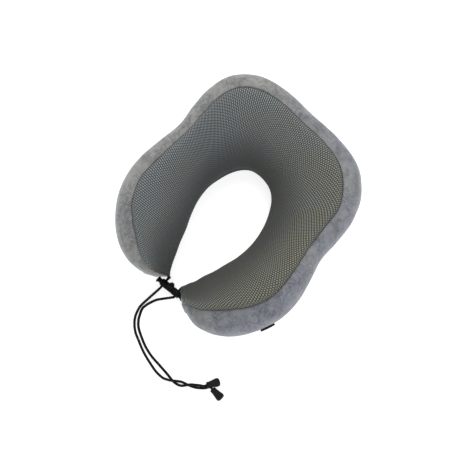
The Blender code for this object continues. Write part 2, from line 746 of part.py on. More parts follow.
def lock_frame():
    """The empty at the middle of the lock, with its X along the lock's axis."""
    frame = add_object("lock_frame", None)
    frame.location = LOCK_CENTRE
    frame.rotation_euler.z = math.radians(LOCK_TURN)
    return frame


def along_lock(item, side):
    """Lays a turned piece along the lock's axis, its top pointing outwards on its own side."""
    item.rotation_euler.y = side * math.pi / 2


def cord_hole(frame, side):
    """A cutter for the cord's way across one half of the lock."""
    ends = [Vector((side * CORD_HOLE_OFFSET, way * 2 * LOCK_RADIUS, 0)) for way in (-1, 1)]
    return rod("cord_hole_%d" % side, CORD_HOLE_RADIUS, *ends, parent=frame)


def barrel_profile(inner_plane):
    """The shared part of both halves, from the floor of the spring bore to the face at the joint."""
    return [
        (0, LOCK_BORE_FLOOR),
        (LOCK_BORE_RADIUS, LOCK_BORE_FLOOR),
        (LOCK_BORE_RADIUS, LOCK_HALF_LENGTH),
        (LOCK_RADIUS - LOCK_EDGE, LOCK_HALF_LENGTH),
        (LOCK_RADIUS, LOCK_HALF_LENGTH - LOCK_EDGE),
        (LOCK_RADIUS, inner_plane + LOCK_EDGE),
        (LOCK_RADIUS - LOCK_EDGE, inner_plane),
    ]


def lock_socket(frame, finish):
    """The left half, with the cavity for the stud and the pocket for the latch button."""
    face = GAP / 2 - LOCK_JOINT_PLANE
    profile = barrel_profile(face) + [
        (LOCK_CAVITY_RADIUS, face),
        (LOCK_CAVITY_RADIUS, LOCK_CAVITY_FLOOR),
        (0, LOCK_CAVITY_FLOOR),
    ]
    socket = turned("lock_socket", profile, finish, frame)
    along_lock(socket, -1)
    cut(socket, cord_hole(frame, -1))
    around = 2 * LATCH_CLEARANCE
    pocket_size = Vector((LATCH_PAD.x + around, LOCK_RADIUS, LATCH_PAD.z + around))
    pocket_centre = Vector((LATCH_OFFSET, LATCH_POCKET_FLOOR + LOCK_RADIUS / 2, 0))
    cut(socket, box("latch_pocket", pocket_size, pocket_centre, parent=frame, collection="cutters"))
    hole_size = Vector((LATCH_STEM.x + around, 3 * MM, LATCH_STEM.z + around))
    hole_centre = Vector((LATCH_OFFSET, LATCH_POCKET_FLOOR, 0))
    cut(socket, box("latch_hole", hole_size, hole_centre, parent=frame, collection="cutters"))


def lock_plug(frame, finish):
    """The right half, with the stud that the socket takes."""
    face = GAP / 2 + LOCK_JOINT_PLANE
    profile = barrel_profile(face) + [
        (STUD_NECK_RADIUS, face),
        (STUD_NECK_RADIUS, STUD_EDGE),
        (STUD_RADIUS, 0),
        (STUD_RADIUS, STUD_EDGE - STUD_END),
        (STUD_RADIUS - STUD_EDGE, -STUD_END),
        (0, -STUD_END),
    ]
    plug = turned("lock_plug", profile, finish, frame)
    along_lock(plug, 1)
    cut(plug, cord_hole(frame, 1))


def plunger(name, frame, side, finish):
    """A push button whose slot pinches the cord."""
    profile = (
        (0, PLUNGER_END),
        (PLUNGER_FLANGE_RADIUS - 2 * PLUNGER_EDGE, PLUNGER_END),
        (PLUNGER_FLANGE_RADIUS, PLUNGER_END - 2 * PLUNGER_EDGE),
        (PLUNGER_FLANGE_RADIUS, PLUNGER_FLANGE_START + PLUNGER_EDGE),
        (PLUNGER_FLANGE_RADIUS - PLUNGER_EDGE, PLUNGER_FLANGE_START),
        (PLUNGER_RADIUS, PLUNGER_FLANGE_START),
        (PLUNGER_RADIUS, PLUNGER_INNER_END + PLUNGER_EDGE),
        (PLUNGER_RADIUS - PLUNGER_EDGE, PLUNGER_INNER_END),
        (0, PLUNGER_INNER_END),
    )
    button = turned(name, profile, finish, frame)
    along_lock(button, side)
    size = Vector((PLUNGER_SLOT_END - PLUNGER_SLOT_START, 4 * PLUNGER_RADIUS, 2 * CORD_HOLE_RADIUS))
    centre = Vector((side * (PLUNGER_SLOT_END + PLUNGER_SLOT_START) / 2, 0, 0))
    cut(button, box("slot_" + name, size, centre, parent=frame, collection="cutters"))


def plunger_spring(name, frame, side, finish):
    """The compression spring behind a plunger."""
    start = LOCK_BORE_FLOOR + GAP + SPRING_WIRE_RADIUS
    end = PLUNGER_INNER_END - GAP - SPRING_WIRE_RADIUS
    steps = SPRING_TURNS * SPRING_POINTS_PER_TURN
    points = []
    for k in range(steps + 1):
        angle = 2 * math.pi * k / SPRING_POINTS_PER_TURN
        x = start + (end - start) * k / steps
        points.append(Vector((side * x, SPRING_RADIUS * math.cos(angle), SPRING_RADIUS * math.sin(angle))))
    tube(name, points, SPRING_WIRE_RADIUS, finish, frame)


def latch_button(frame, finish):
    """The small press pad that frees the stud."""
    pad = box(
        "latch_button",
        LATCH_PAD,
        Vector((LATCH_OFFSET, LATCH_PAD_BOTTOM + LATCH_PAD.y / 2, 0)),
        finish,
        frame,
        edge=0.5 * MM,
    )
    stem_centre = Vector((LATCH_OFFSET, LATCH_STEM_BOTTOM + LATCH_STEM.y / 2, 0))
    cut(pad, box("latch_stem", LATCH_STEM, stem_centre, parent=frame, collection="cutters"), "UNION")


def build_lock():
    """Both halves of the cord lock with their plungers, springs and latch."""
    plastic = material("black_plastic", (0.012, 0.013, 0.015), 0.4)
    steel = material("spring_steel", (0.55, 0.56, 0.58), 0.3, 1.0)
    frame = lock_frame()
    lock_socket(frame, plastic)
    lock_plug(frame, plastic)
    for name, side in (("left", -1), ("right", 1)):
        plunger(name + "_plunger", frame, side, plastic)
        plunger_spring(name + "_plunger_spring", frame, side, steel)
    latch_button(frame, plastic)


# ---------------------------------------------------------------- cords and bell ends


def bell_axis(turn, tilt):
    """The direction from a bell's neck to its mouth."""
    turn, tilt = math.radians(turn), math.radians(tilt)
    return Vector((math.cos(turn) * math.cos(tilt), math.sin(turn) * math.cos(tilt), math.sin(tilt)))


def cord_with_bell(side, route, start, axis, finishes):
    """One cord from its arm tip, through the lock, to the knot inside its bell end."""
    cord, bell_finish = finishes
    points = [Vector(point) * MM for point in route] + [start - axis * BELL_LEAD_IN]
    lead = smooth_route(points[:LEAD_POINTS], LEAD_SPACING)
    tail = smooth_route(points[LEAD_POINTS - 1:], CORD_SPACING)
    points = lead + tail[1:] + [start, start + axis * BELL_CORD_DEPTH]
    tube(side + "_cord", points, CORD_RADIUS, cord)
    profile = [(radius * MM, height * MM) for radius, height in BELL_PROFILE]
    bell = turned(side + "_bell", profile, bell_finish, steps=24, closed=True)
    bell.location = start
    bell.rotation_mode = "QUATERNION"
    bell.rotation_quaternion = Vector((0, 0, 1)).rotation_difference(axis)
    data = bpy.data.meshes.new(side + "_knot")
    shape = bmesh.new()
    bmesh.ops.create_uvsphere(shape, u_segments=12, v_segments=8, radius=KNOT_RADIUS)
    shape.to_mesh(data)
    shape.free()
    knot = add_object(side + "_knot", data, cord)
    knot.location = start + axis * KNOT_DEPTH


def build_cords():
    """The two cords, which cross twice on the floor, and what is on their ends."""
    cord = material("black_cord", (0.012, 0.012, 0.014), 0.85)
    bell = material("black_bell_plastic", (0.015, 0.016, 0.018), 0.45)
    cord_with_bell("left", LEFT_CORD_ROUTE, LEFT_BELL_START, bell_axis(*LEFT_BELL_ANGLES), (cord, bell))
    cord_with_bell("right", RIGHT_CORD_ROUTE, RIGHT_BELL_START, bell_axis(*RIGHT_BELL_ANGLES), (cord, bell))


clear_scene()
build_pillow()
build_zip()
build_lock()
build_cords()
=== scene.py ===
"""Looks of the u shaped neck pillow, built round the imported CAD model, in metres, +Z up.

The pillow's cover is lofted from the same rails as its CAD solids, finely enough to carry its seams,
puckers and knitted relief. The cords repeat the routes of the CAD cords, as braided tubes.
"""
import math

import bpy
import numpy as np
from mathutils import Matrix, Vector, noise


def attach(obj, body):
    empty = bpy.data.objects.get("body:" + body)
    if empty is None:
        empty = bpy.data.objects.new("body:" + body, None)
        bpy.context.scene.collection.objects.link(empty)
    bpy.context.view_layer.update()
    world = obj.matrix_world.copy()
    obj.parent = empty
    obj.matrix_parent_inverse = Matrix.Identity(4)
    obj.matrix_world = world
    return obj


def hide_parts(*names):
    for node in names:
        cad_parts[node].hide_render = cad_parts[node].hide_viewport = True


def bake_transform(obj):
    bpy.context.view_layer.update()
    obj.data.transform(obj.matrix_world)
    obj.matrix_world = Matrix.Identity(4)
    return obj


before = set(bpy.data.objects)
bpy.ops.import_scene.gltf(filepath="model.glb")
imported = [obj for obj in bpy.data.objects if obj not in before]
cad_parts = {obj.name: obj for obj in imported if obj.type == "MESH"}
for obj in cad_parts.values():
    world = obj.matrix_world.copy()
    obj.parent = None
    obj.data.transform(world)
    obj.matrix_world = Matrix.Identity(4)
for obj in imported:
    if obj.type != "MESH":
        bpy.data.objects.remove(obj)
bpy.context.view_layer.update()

MM = 0.001
UP = Vector((0, 0, 1))

# ------------------------ camera

CAMERA_TARGET = Vector((11.2, -30.0, 50.0)) * MM
CAMERA_PLACE = Vector((125.5, -151.8, 1238.3)) * MM
CAMERA_LENS = 77.6


def make_camera():
    """The camera looks down on the pillow from in front of its right arm."""
    data = bpy.data.cameras.new("camera")
    data.lens = CAMERA_LENS
    data.sensor_width = 36.0
    data.clip_end = 10.0
    camera = bpy.data.objects.new("camera", data)
    bpy.context.scene.collection.objects.link(camera)
    camera.location = CAMERA_PLACE
    camera.rotation_euler = (CAMERA_TARGET - CAMERA_PLACE).to_track_quat("-Z", "Y").to_euler()
    bpy.context.scene.camera = camera


# ------------------------ materials


class Nodes:
    """Short calls for building one material's node tree."""

    def __init__(self, name, roughness, **shader_values):
        self.material = bpy.data.materials.new(name)
        self.material.use_nodes = True
        self.tree = self.material.node_tree
        self.shader = self.tree.nodes["Principled BSDF"]
        self.shader.inputs["Roughness"].default_value = roughness
        for key, value in shader_values.items():
            self.shader.inputs[key.replace("_", " ")].default_value = value

    def value(self, kind, *inputs, socket=0, **settings):
        """Adds a node, sets its settings, feeds its inputs in order and returns one output."""
        node = self.tree.nodes.new("ShaderNode" + kind)
        for key, setting in settings.items():
            setattr(node, key, setting)
        for slot, item in zip(node.inputs, inputs):
            if isinstance(item, bpy.types.NodeSocket):
                self.tree.links.new(item, slot)
            elif item is not None:
                slot.default_value = item
        return node.outputs[socket]

    def math(self, operation, *inputs):
        """A sum on sockets or numbers."""
        return self.value("Math", *inputs, operation=operation)

    def place(self, kind="Object"):
        """Texture coordinates, by the piece's own place or its UV map."""
        node = self.tree.nodes.new("ShaderNodeTexCoord")
        return node.outputs[kind]

    def stretched(self, source, scale):
        """Coordinates scaled unevenly."""
        node = self.tree.nodes.new("ShaderNodeMapping")
        self.tree.links.new(source, node.inputs["Vector"])
        node.inputs["Scale"].default_value = scale
        return node.outputs[0]

    def split(self, source):
        """The three parts of a vector."""
        node = self.tree.nodes.new("ShaderNodeSeparateXYZ")
        self.tree.links.new(source, node.inputs[0])
        return node.outputs

    def noise(self, source, scale, detail=2.0, roughness=0.5, distortion=0.0):
        """Fractal noise, 0 to 1."""
        node = self.tree.nodes.new("ShaderNodeTexNoise")
        self.tree.links.new(source, node.inputs["Vector"])
        node.inputs["Scale"].default_value = scale
        node.inputs["Detail"].default_value = detail
        node.inputs["Roughness"].default_value = roughness
        node.inputs["Distortion"].default_value = distortion
        return node.outputs["Fac"]

    def ramp(self, source, *stops):
        """A colour ramp from (position, colour) stops; a grey may be one number."""
        node = self.tree.nodes.new("ShaderNodeValToRGB")
        self.tree.links.new(source, node.inputs[0])
        elements = node.color_ramp.elements
        while len(elements) < len(stops):
            elements.new(0.5)
        for element, (position, colour) in zip(elements, stops):
            element.position = position
            shade = colour if isinstance(colour, tuple) else (colour,) * 3
            element.color = (*shade, 1.0)
        return node.outputs[0]

    def mix(self, factor, first, second, blend="MIX"):
        """A mix of two colours, each a socket or a colour."""
        node = self.tree.nodes.new("ShaderNodeMix")
        node.data_type = "RGBA"
        node.blend_type = blend
        for slot, item in zip((node.inputs[0], node.inputs[6], node.inputs[7]), (factor, first, second)):
            if isinstance(item, bpy.types.NodeSocket):
                self.tree.links.new(item, slot)
            elif isinstance(item, tuple):
                slot.default_value = (*item, 1.0)
            else:
                slot.default_value = item
        return node.outputs[2]

    def colour(self, source):
        """Feeds the shader's colour."""
        self.tree.links.new(source, self.shader.inputs["Base Color"])

    def rough(self, source):
        """Feeds the shader's roughness."""
        self.tree.links.new(source, self.shader.inputs["Roughness"])

    def bump(self, height, distance, strength=1.0):
        """Feeds the shader's normal from a height."""
        node = self.tree.nodes.new("ShaderNodeBump")
        node.inputs["Strength"].default_value = strength
        node.inputs["Distance"].default_value = distance
        self.tree.links.new(height, node.inputs["Height"])
        self.tree.links.new(node.outputs[0], self.shader.inputs["Normal"])


def lattice(n, rows, dots, ridge):
    """The knit's staggered lattice: 1 on each raised dot, 0 in the holes; ridge joins dots into rows."""
    turn = 2 * math.pi
    along = n.math("COSINE", n.math("MULTIPLY", rows, turn))
    half = n.math("MULTIPLY", rows, turn / 2)
    across = n.math("MULTIPLY", dots, turn)
    rising = n.math("COSINE", n.math("ADD", half, across))
    falling = n.math("COSINE", n.math("SUBTRACT", half, across))
    total = n.math("ADD", n.math("MULTIPLY", along, ridge), n.math("ADD", rising, falling))
    return n.value("MapRange", total, -1.6, 3.2, 0.0, 1.0)


def mesh_fabric():
    """Dark knitted spacer mesh with light dots, warmer on the right, with a painted shadow by the seam and
    painted shade down the neck wall.
    """
    n = Nodes("spacer_mesh", 0.88, Specular_IOR_Level=0.25)
    along, over, _ = n.split(n.place("UV"))
    place = n.place()
    x = n.split(place)[0]
    warm = n.value("MapRange", x, -0.08, 0.11, 0.0, 1.0)
    ridge = n.value("MapRange", x, -0.05, 0.06, 2.2, 1.1)
    dots = lattice(n, along, over, ridge)
    patches = n.noise(place, 26, 2, 0.6)
    tint = n.math("ADD", warm, n.math("MULTIPLY", n.math("SUBTRACT", patches, 0.5), 1.1))
    light = n.mix(tint, (0.256, 0.276, 0.278), (0.262, 0.260, 0.212))
    dark = n.mix(tint, (0.044, 0.051, 0.056), (0.043, 0.044, 0.036))
    # Painted shade from the depth attribute: it fades the knit towards a plain mean and darkens it down the
    # neck wall.
    shade = n.value("Attribute", attribute_name="depth", socket=2)
    plain = n.mix(tint, (0.098, 0.108, 0.116), (0.108, 0.108, 0.092))
    knit = n.mix(n.ramp(dots, (0.18, 0.0), (0.62, 1.0)), dark, light)
    soft = n.mix(n.ramp(shade, (0.35, 0.0), (0.62, 0.72)), knit, plain)
    # Painted shadow by the crest seam: the knit's first columns are darkened in colour.
    seam = ((0.0, 0.3), (0.011, 0.5), (0.02, 1.06))
    wall = ((0.33, 1.06), (0.6, 0.78), (0.8, 0.68), (1.0, 0.64))
    n.colour(n.mix(1.0, soft, n.ramp(shade, *seam, *wall), "MULTIPLY"))
    fibre = n.noise(place, 2600, 2)
    n.bump(n.math("ADD", dots, n.math("MULTIPLY", fibre, 0.3)), 0.5 * MM, 0.8)
    return n.material


def velvet():
    """Grey velvet with a short nap, crushed darker and lighter in blotches."""
    n = Nodes(
        "grey_velvet",
        0.92,
        Specular_IOR_Level=0.15,
        Sheen_Weight=0.35,
        Sheen_Roughness=0.45,
        Sheen_Tint=(0.9, 0.93, 1.0, 1.0),
    )
    place = n.place()
    broad = n.noise(place, 16, 2, 0.55)
    blotch = n.noise(n.stretched(place, (1, 1, 0.45)), 62, 4, 0.62, 0.6)
    streak = n.noise(n.stretched(place, (1, 1, 0.22)), 210, 3, 0.6, 0.3)
    nap = n.noise(place, 1500, 2, 0.6)
    # Painted shade: the velvet's colour darkens and turns bluer towards the right, the side away from the key
    # light.
    right = n.value("MapRange", n.split(place)[0], -0.07, 0.10, 0.0, 1.0)
    tint = n.math("ADD", right, n.math("MULTIPLY", n.math("SUBTRACT", broad, 0.5), 2.4))
    base = n.mix(tint, (0.318, 0.322, 0.308), (0.248, 0.262, 0.296))
    crushed = n.mix(1.0, base, n.ramp(blotch, (0.36, 0.70), (0.5, 0.92), (0.62, 1.0)), "MULTIPLY")
    crease = n.noise(n.stretched(place, (1, 1, 0.4)), 58, 5, 0.62, 1.8)
    near = n.math("ABSOLUTE", n.math("SUBTRACT", crease, 0.5))
    worn = n.ramp(n.noise(place, 30, 2, 0.5), (0.36, 0.0), (0.54, 1.0))
    lines = n.mix(worn, (1.0, 1.0, 1.0), n.ramp(near, (0.0, 0.60), (0.05, 1.0)))
    marks = n.mix(1.0, lines, n.ramp(streak, (0.3, 0.86), (0.7, 1.03)), "MULTIPLY")
    fine = n.ramp(nap, (0.25, 0.86), (0.75, 1.0))
    tone = n.mix(1.0, n.mix(1.0, crushed, marks, "MULTIPLY"), fine, "MULTIPLY")
    n.colour(tone)
    height = n.math("ADD", n.math("MULTIPLY", blotch, 1.6), n.math("MULTIPLY", nap, 0.25))
    n.bump(height, 0.7 * MM, 0.7)
    return n.material


def foam():
    """Pale open-cell memory foam."""
    n = Nodes("memory_foam", 0.95, Specular_IOR_Level=0.2)
    place = n.place()
    cells = n.noise(place, 900, 3, 0.6)
    n.colour(n.mix(cells, (0.62, 0.58, 0.46), (0.80, 0.77, 0.66)))
    n.bump(cells, 0.3 * MM)
    return n.material


GLOSS_WEAR = 0.1


def moulded(name, colour, roughness, grain=1400):
    """Moulded plastic or rubber with a fine texture and a slight wear of its gloss."""
    n = Nodes(name, roughness, Specular_IOR_Level=0.1)
    place = n.place()
    texture = n.noise(place, grain, 2, 0.5)
    wear = n.noise(place, 160, 4, 0.6)
    low = tuple(0.75 * channel for channel in colour)
    high = tuple(1.5 * channel for channel in colour)
    n.colour(n.mix(wear, low, high))
    n.rough(n.value("MapRange", wear, 0.3, 0.7, roughness - GLOSS_WEAR, roughness + GLOSS_WEAR))
    n.bump(texture, 0.05 * MM, 0.6)
    return n.material


def painted_metal():
    """Black painted zinc, worn a little lighter in places."""
    n = Nodes("black_metal", 0.38, Metallic=0.85)
    place = n.place()
    wear = n.noise(place, 380, 4, 0.65)
    n.colour(n.ramp(wear, (0.35, 0.02), (0.68, 0.045), (0.8, 0.16)))
    n.rough(n.value("MapRange", wear, 0.3, 0.8, 0.45, 0.25))
    n.bump(n.noise(place, 2400, 2), 0.04 * MM, 0.5)
    return n.material


def drawn_wire():
    """Bright spring wire with fine draw marks."""
    n = Nodes("spring_wire", 0.28, Metallic=1.0)
    marks = n.noise(n.stretched(n.place(), (1, 1, 8)), 900, 2)
    n.colour(n.ramp(marks, (0.3, (0.42, 0.43, 0.45)), (0.7, (0.62, 0.63, 0.65))))
    n.bump(marks, 0.02 * MM, 0.4)
    return n.material


TWILL_PITCH = 0.9 * MM


def woven_tape():
    """Zip tape in a herringbone-like twill."""
    n = Nodes("zip_tape_weave", 0.85, Specular_IOR_Level=0.2)
    place = n.place()
    x, y, _ = n.split(place)
    twill = n.math("SINE", n.math("MULTIPLY", n.math("ADD", x, y), 2 * math.pi / TWILL_PITCH))
    yarn = n.value("MapRange", twill, -1.0, 1.0, 0.0, 1.0)
    n.colour(n.mix(yarn, (0.045, 0.046, 0.05), (0.12, 0.122, 0.13)))
    n.bump(n.math("ADD", yarn, n.noise(place, 2600, 2)), 0.12 * MM, 0.7)
    return n.material


def coil_nylon():
    """Extruded nylon of the zip's teeth."""
    n = Nodes("zip_coil_nylon", 0.45, Specular_IOR_Level=0.45)
    tone = n.noise(n.place(), 700, 3)
    n.colour(n.ramp(tone, (0.3, 0.05), (0.7, 0.11)))
    n.bump(tone, 0.05 * MM, 0.4)
    return n.material


def braid():
    """Black braided cord with pale specks on its slanting strands' crests, partly paler fibres and partly a
    painted highlight.
    """
    n = Nodes("black_braid", 0.8, Specular_IOR_Level=0.12)
    uv = n.place("UV")
    along, around, _ = n.split(uv)
    turn = 2 * math.pi
    right = n.math("SINE", n.math("MULTIPLY", n.math("ADD", along, around), turn))
    left = n.math("SINE", n.math("MULTIPLY", n.math("SUBTRACT", along, around), turn))
    strand = n.value("MapRange", n.math("MULTIPLY", right, left), -1.0, 1.0, 0.0, 1.0)
    # Pale specks on the strand crests: partly paler fibres, partly painted highlight.
    speck = n.ramp(n.noise(uv, 2.3, 3, 0.7), (0.5, 0.0), (0.62, 1.0))
    pale = n.math("MULTIPLY", n.ramp(strand, (0.72, 0.0), (0.95, 1.0)), speck)
    body = n.mix(strand, (0.002, 0.002, 0.002), (0.009, 0.009, 0.010))
    n.colour(n.mix(pale, body, (0.16, 0.16, 0.17)))
    n.bump(n.math("ADD", strand, n.math("MULTIPLY", n.noise(n.place(), 3000, 2), 0.4)), 0.25 * MM, 0.8)
    return n.material


# ------------------------ the pillow's surface

# Plan rails of the U, in millimetres, from the left arm tip round the back to the right arm tip.
# Each row: outer wall x, y; crest seam x, y; neck opening x, y; crest height; base lift; lower wall inset.
STATIONS = (
    (-36, -139, -32, -132, -12.5, -117, 78, 14, 8),
    (-54.5, -141, -48, -127, -15.5, -111, 89, 5, 13),
    (-78, -134.5, -64, -116, -19, -103, 98, 0, 9),
    (-100.5, -118, -80, -104, -23, -92, 104, 0, 7),
    (-116.5, -95, -94, -88, -28, -79, 109, 0, 6),
    (-124.8, -70, -102.8, -64, -33, -63, 112, 0, 6),
    (-126.8, -43, -103, -40, -39, -48, 112, 0, 6),
    (-122.6, -14, -101, -14, -43.7, -32, 110, 0, 6),
    (-117.5, 18, -98.5, 18, -46, -18, 106, 0, 6),
    (-119.8, 48, -98.8, 46, -46.5, -4.5, 104, 0, 6),
    (-118.7, 78, -97, 73, -43.8, 10, 103, 0, 6),
    (-108.3, 108.3, -87.2, 97.5, -38.5, 26, 101, 0, 6),
    (-82, 132.3, -66.2, 114, -30, 39.5, 97, 0, 6),
    (-45, 142, -36, 121.8, -18.5, 47.5, 93, 0, 6),
    (0, 142.5, 0, 121.2, -3, 49, 92, 0, 6),
    (45, 142.3, 36, 120.3, 13, 45.5, 93, 0, 6),
    (82, 132.2, 65.2, 112.2, 25.5, 35.2, 97, 0, 6),
    (108, 108, 84.8, 95, 33, 23, 101, 0, 6),
    (119.5, 78, 97.6, 73.4, 38.5, 9, 103, 0, 6),
    (121.2, 48, 99.8, 46, 41.5, -5, 104, 0, 6),
    (119.8, 18, 100.7, 18, 42.8, -18, 106, 0, 6),
    (126.3, -14, 104.5, -14, 42.3, -32, 110, 0, 6),
    (130, -43, 106, -40, 39.4, -48, 112, 0, 6),
    (127, -70, 103, -63.5, 34.4, -63, 112, 0, 6),
    (116.8, -95, 92, -85.5, 29, -79, 109, 0, 6),
    (100, -118.3, 78, -101, 23, -92, 104, 0, 7),
    (78, -135, 63.5, -115, 19, -103, 98, 0, 9),
    (55, -141.8, 48, -126.8, 14.7, -109.8, 89, 5, 13),
    (36, -139, 32, -132, 11.6, -115.8, 78, 14, 8),
)
LEFT_POLE = np.array((-12, -121.5, 28)) * MM
RIGHT_POLE = np.array((14, -125, 28)) * MM
CAP_ANGLE = 50
SKEW = -0.055
SKEW_CENTRE_Y = -45 * MM
# Wall heights are parts of the crest's height.
OUTER_WALL_HEIGHT = 0.50
NECK_WALL_HEIGHT = 0.36
SEAM_DROP = 5 * MM
BASE_INSET_OUTER = 16 * MM
BASE_INSET_INNER = 10 * MM

# A section's knots: the seams and the neck wall.
SECTION_KNOTS = 12
SECTION_STEPS = 16
SEAM_KNOT, NECK_KNOT, BASE_INNER_KNOT, BASE_OUTER_KNOT = 2, 7, 9, 10

# The zip's circle, and the valley that it lies in.
ZIP_CENTRE = Vector((0, -5, 0)) * MM
ZIP_RADIUS = 96 * MM
ZIP_HALF_ANGLE = 57.0
ZIP_SLOT_HALF_WIDTH = 3.7 * MM
ZIP_SLOT_HEIGHTS = (-5 * MM, 20 * MM)
ZIP_VALLEY_DEPTH = 7 * MM
ZIP_VALLEY_FLAT = 14 * MM
ZIP_VALLEY_HALF_WIDTH = 26 * MM
ZIP_VALLEY_FULL = 60.0
ZIP_VALLEY_END = 72.0
ZIP_VALLEY_TOP = 30 * MM

# Fabric and foam. Two grid rows make one row of the knit.
FABRIC_THICKNESS = 1.6 * MM
ROW_PITCH = 2.7 * MM
KNIT_RELIEF = 0.22 * MM
FOAM_INSET = 4.5 * MM
COVER_COLUMNS, BAND_COLUMNS, BASE_COLUMNS, FOAM_COLUMNS = 94, 64, 48, 96

# The seams: a groove, a soft roll beside it, and puckers.
SEAM_DEPTH = 1.5 * MM
SEAM_WIDTH = 2.4 * MM
SEAM_SPAN = 4
ROLL_HEIGHT = 0.9 * MM
ROLL_PLACE = 9 * MM
ROLL_WIDTH = 5 * MM
PUCKER_HEIGHT = 0.45 * MM
PUCKER_FADE = 7 * MM

# Ripples, as waves a metre and a seed. Soft dents have their height first.
PUCKER_RIPPLES = (95, 1)
COVER_DENTS = ((0.5 * MM, 22, 2),)
BAND_DENTS = ((0.8 * MM, 20, 3), (0.3 * MM, 75, 4))

# Painted shade on the knit: darker towards the arm tips, and along the right arm.
TIP_SHADE = 0.26
TIP_SHADE_START = 8.0
RIGHT_SHADE = 0.13
RIGHT_SHADE_START = 15.0
RIGHT_SHADE_LENGTH = 6.0
SHADE_COLUMNS = 14


def catmull(a, b, c, d, t):
    """The point at t between b and c on the smooth curve through a, b, c and d."""
    return 0.5 * (
        2 * b + (c - a) * t + (2 * a - 5 * b + 4 * c - d) * t * t + (3 * b - a - 3 * c + d) * t * t * t
    )


ROWS = np.array(STATIONS, float) * MM
LAST = len(ROWS) - 1
CREST, LIFT, INSET = 6, 7, 8


def station_values(places):
    """Rail values at places between stations, one row each."""
    index = np.minimum(places.astype(int), LAST - 1)
    picked = [ROWS[np.clip(index + k, 0, LAST)] for k in (-1, 0, 1, 2)]
    values = catmull(*picked, (places - index)[:, None])
    values[:, LIFT] = np.maximum(values[:, LIFT], 0.0)
    return values


def section_curves(values):
    """Closed cross-sections, one for each row of rail values, each with SECTION_STEPS points a knot."""
    zero = np.zeros(len(values))
    outer, seam, neck = (np.column_stack((values[:, k], values[:, k + 1], zero)) for k in (0, 2, 4))
    crest, lift, inset = values[:, CREST], values[:, LIFT], values[:, INSET]
    width = np.linalg.norm(neck - outer, axis=1)
    inward = (neck - outer) / width[:, None]
    base_outer = np.minimum(BASE_INSET_OUTER, 0.28 * width) + inset
    base_inner = np.minimum(BASE_INSET_INNER, 0.25 * width)
    wall_z = OUTER_WALL_HEIGHT * crest
    seam_z = crest - SEAM_DROP
    neck_z = NECK_WALL_HEIGHT * crest
    rise = crest - neck_z

    def at(point, height):
        """A point's plan place at a height."""
        return np.column_stack((point[:, :2], height))

    def between(first, second, part):
        """The point a part of the way from the first to the second."""
        return first + (second - first) * part

    knots = [
        at(outer, wall_z),
        at(between(outer, seam, 0.25), wall_z + 0.68 * (seam_z - wall_z)),
        at(seam, seam_z),
        at(between(seam, neck, 0.15), crest),
        at(between(seam, neck, 0.40), neck_z + 0.87 * rise),
        at(between(seam, neck, 0.64), neck_z + 0.64 * rise),
        at(between(seam, neck, 0.85), neck_z + 0.34 * rise),
        at(neck, neck_z),
        at(neck - inward * 2.5 * MM, lift + 0.30 * (neck_z - lift)),
        at(neck - inward * base_inner[:, None], lift),
        at(outer + inward * base_outer[:, None], lift),
        at(outer + inward * inset[:, None], lift + 0.32 * (wall_z - lift)),
    ]
    points = []
    for i in range(SECTION_KNOTS):
        around = [knots[(i + k) % SECTION_KNOTS] for k in (-1, 0, 1, 2)]
        for step in range(SECTION_STEPS):
            point = catmull(*around, step / SECTION_STEPS)
            point[:, 2] = np.maximum(point[:, 2], lift)
            points.append(point)
    return np.stack(points, axis=1)


def cap_ring(ring, pole, side, angle):
    """One shrinking ring of a rounded arm tip, which leaves the last section squarely."""
    centre = ring.mean(axis=0)
    offset = pole - centre
    across = ring[NECK_KNOT * SECTION_STEPS] - ring[0]
    forward = side * np.array((across[1], -across[0], 0)) / math.hypot(across[0], across[1])
    reach = forward * offset.dot(forward)
    drift = offset - reach
    turn = math.radians(angle)
    shrink = math.cos(turn)
    return centre + (ring - centre) * shrink + drift * (1 - shrink) + reach * math.sin(turn)


def rings_at(places):
    """Rings at places from -1 to LAST + 1, where the places past the stations are on the arm tips."""
    rings = section_curves(station_values(np.clip(places, 0, LAST)))
    for i, place in enumerate(places):
        if place < 0:
            rings[i] = cap_ring(rings[i], LEFT_POLE, -1, -place * 90)
        elif place > LAST:
            rings[i] = cap_ring(rings[i], RIGHT_POLE, 1, (place - LAST) * 90)
    return rings


def ease(value):
    """A smooth step from 0 to 1."""
    value = np.clip(value, 0.0, 1.0)
    return value * value * (3 - 2 * value)


def finished(points):
    """Leans the whole plan by the skew and draws the base up around the zip."""
    x = points[..., 0] + SKEW * (points[..., 1] - SKEW_CENTRE_Y)
    y, z = points[..., 1], points[..., 2]
    across = np.abs(np.hypot(x - ZIP_CENTRE.x, y - ZIP_CENTRE.y) - ZIP_RADIUS)
    angle = np.abs(np.degrees(np.arctan2(x - ZIP_CENTRE.x, y - ZIP_CENTRE.y)))
    side = ease((ZIP_VALLEY_HALF_WIDTH - across) / (ZIP_VALLEY_HALF_WIDTH - ZIP_VALLEY_FLAT))
    end = ease((ZIP_VALLEY_END - angle) / (ZIP_VALLEY_END - ZIP_VALLEY_FULL))
    valley = ZIP_VALLEY_DEPTH * side * end
    return np.stack((x, y, z + valley * np.clip(1 - z / ZIP_VALLEY_TOP, 0, None)), axis=-1)


def steps_between(points):
    """Distances along a row of points."""
    return np.concatenate(([0.0], np.cumsum(np.linalg.norm(np.diff(points, axis=0), axis=1))))


def even_places(spacing):
    """Places along the U, even over the crest seam; panels may take each second, third or sixth one."""
    dense = np.linspace(-CAP_ANGLE / 90, LAST + CAP_ANGLE / 90, 1500)
    lengths = steps_between(finished(rings_at(dense)[:, SEAM_KNOT * SECTION_STEPS]))
    count = 12 * round(lengths[-1] / spacing / 12)
    return np.interp(np.linspace(0, lengths[-1], count + 1), lengths, dense)


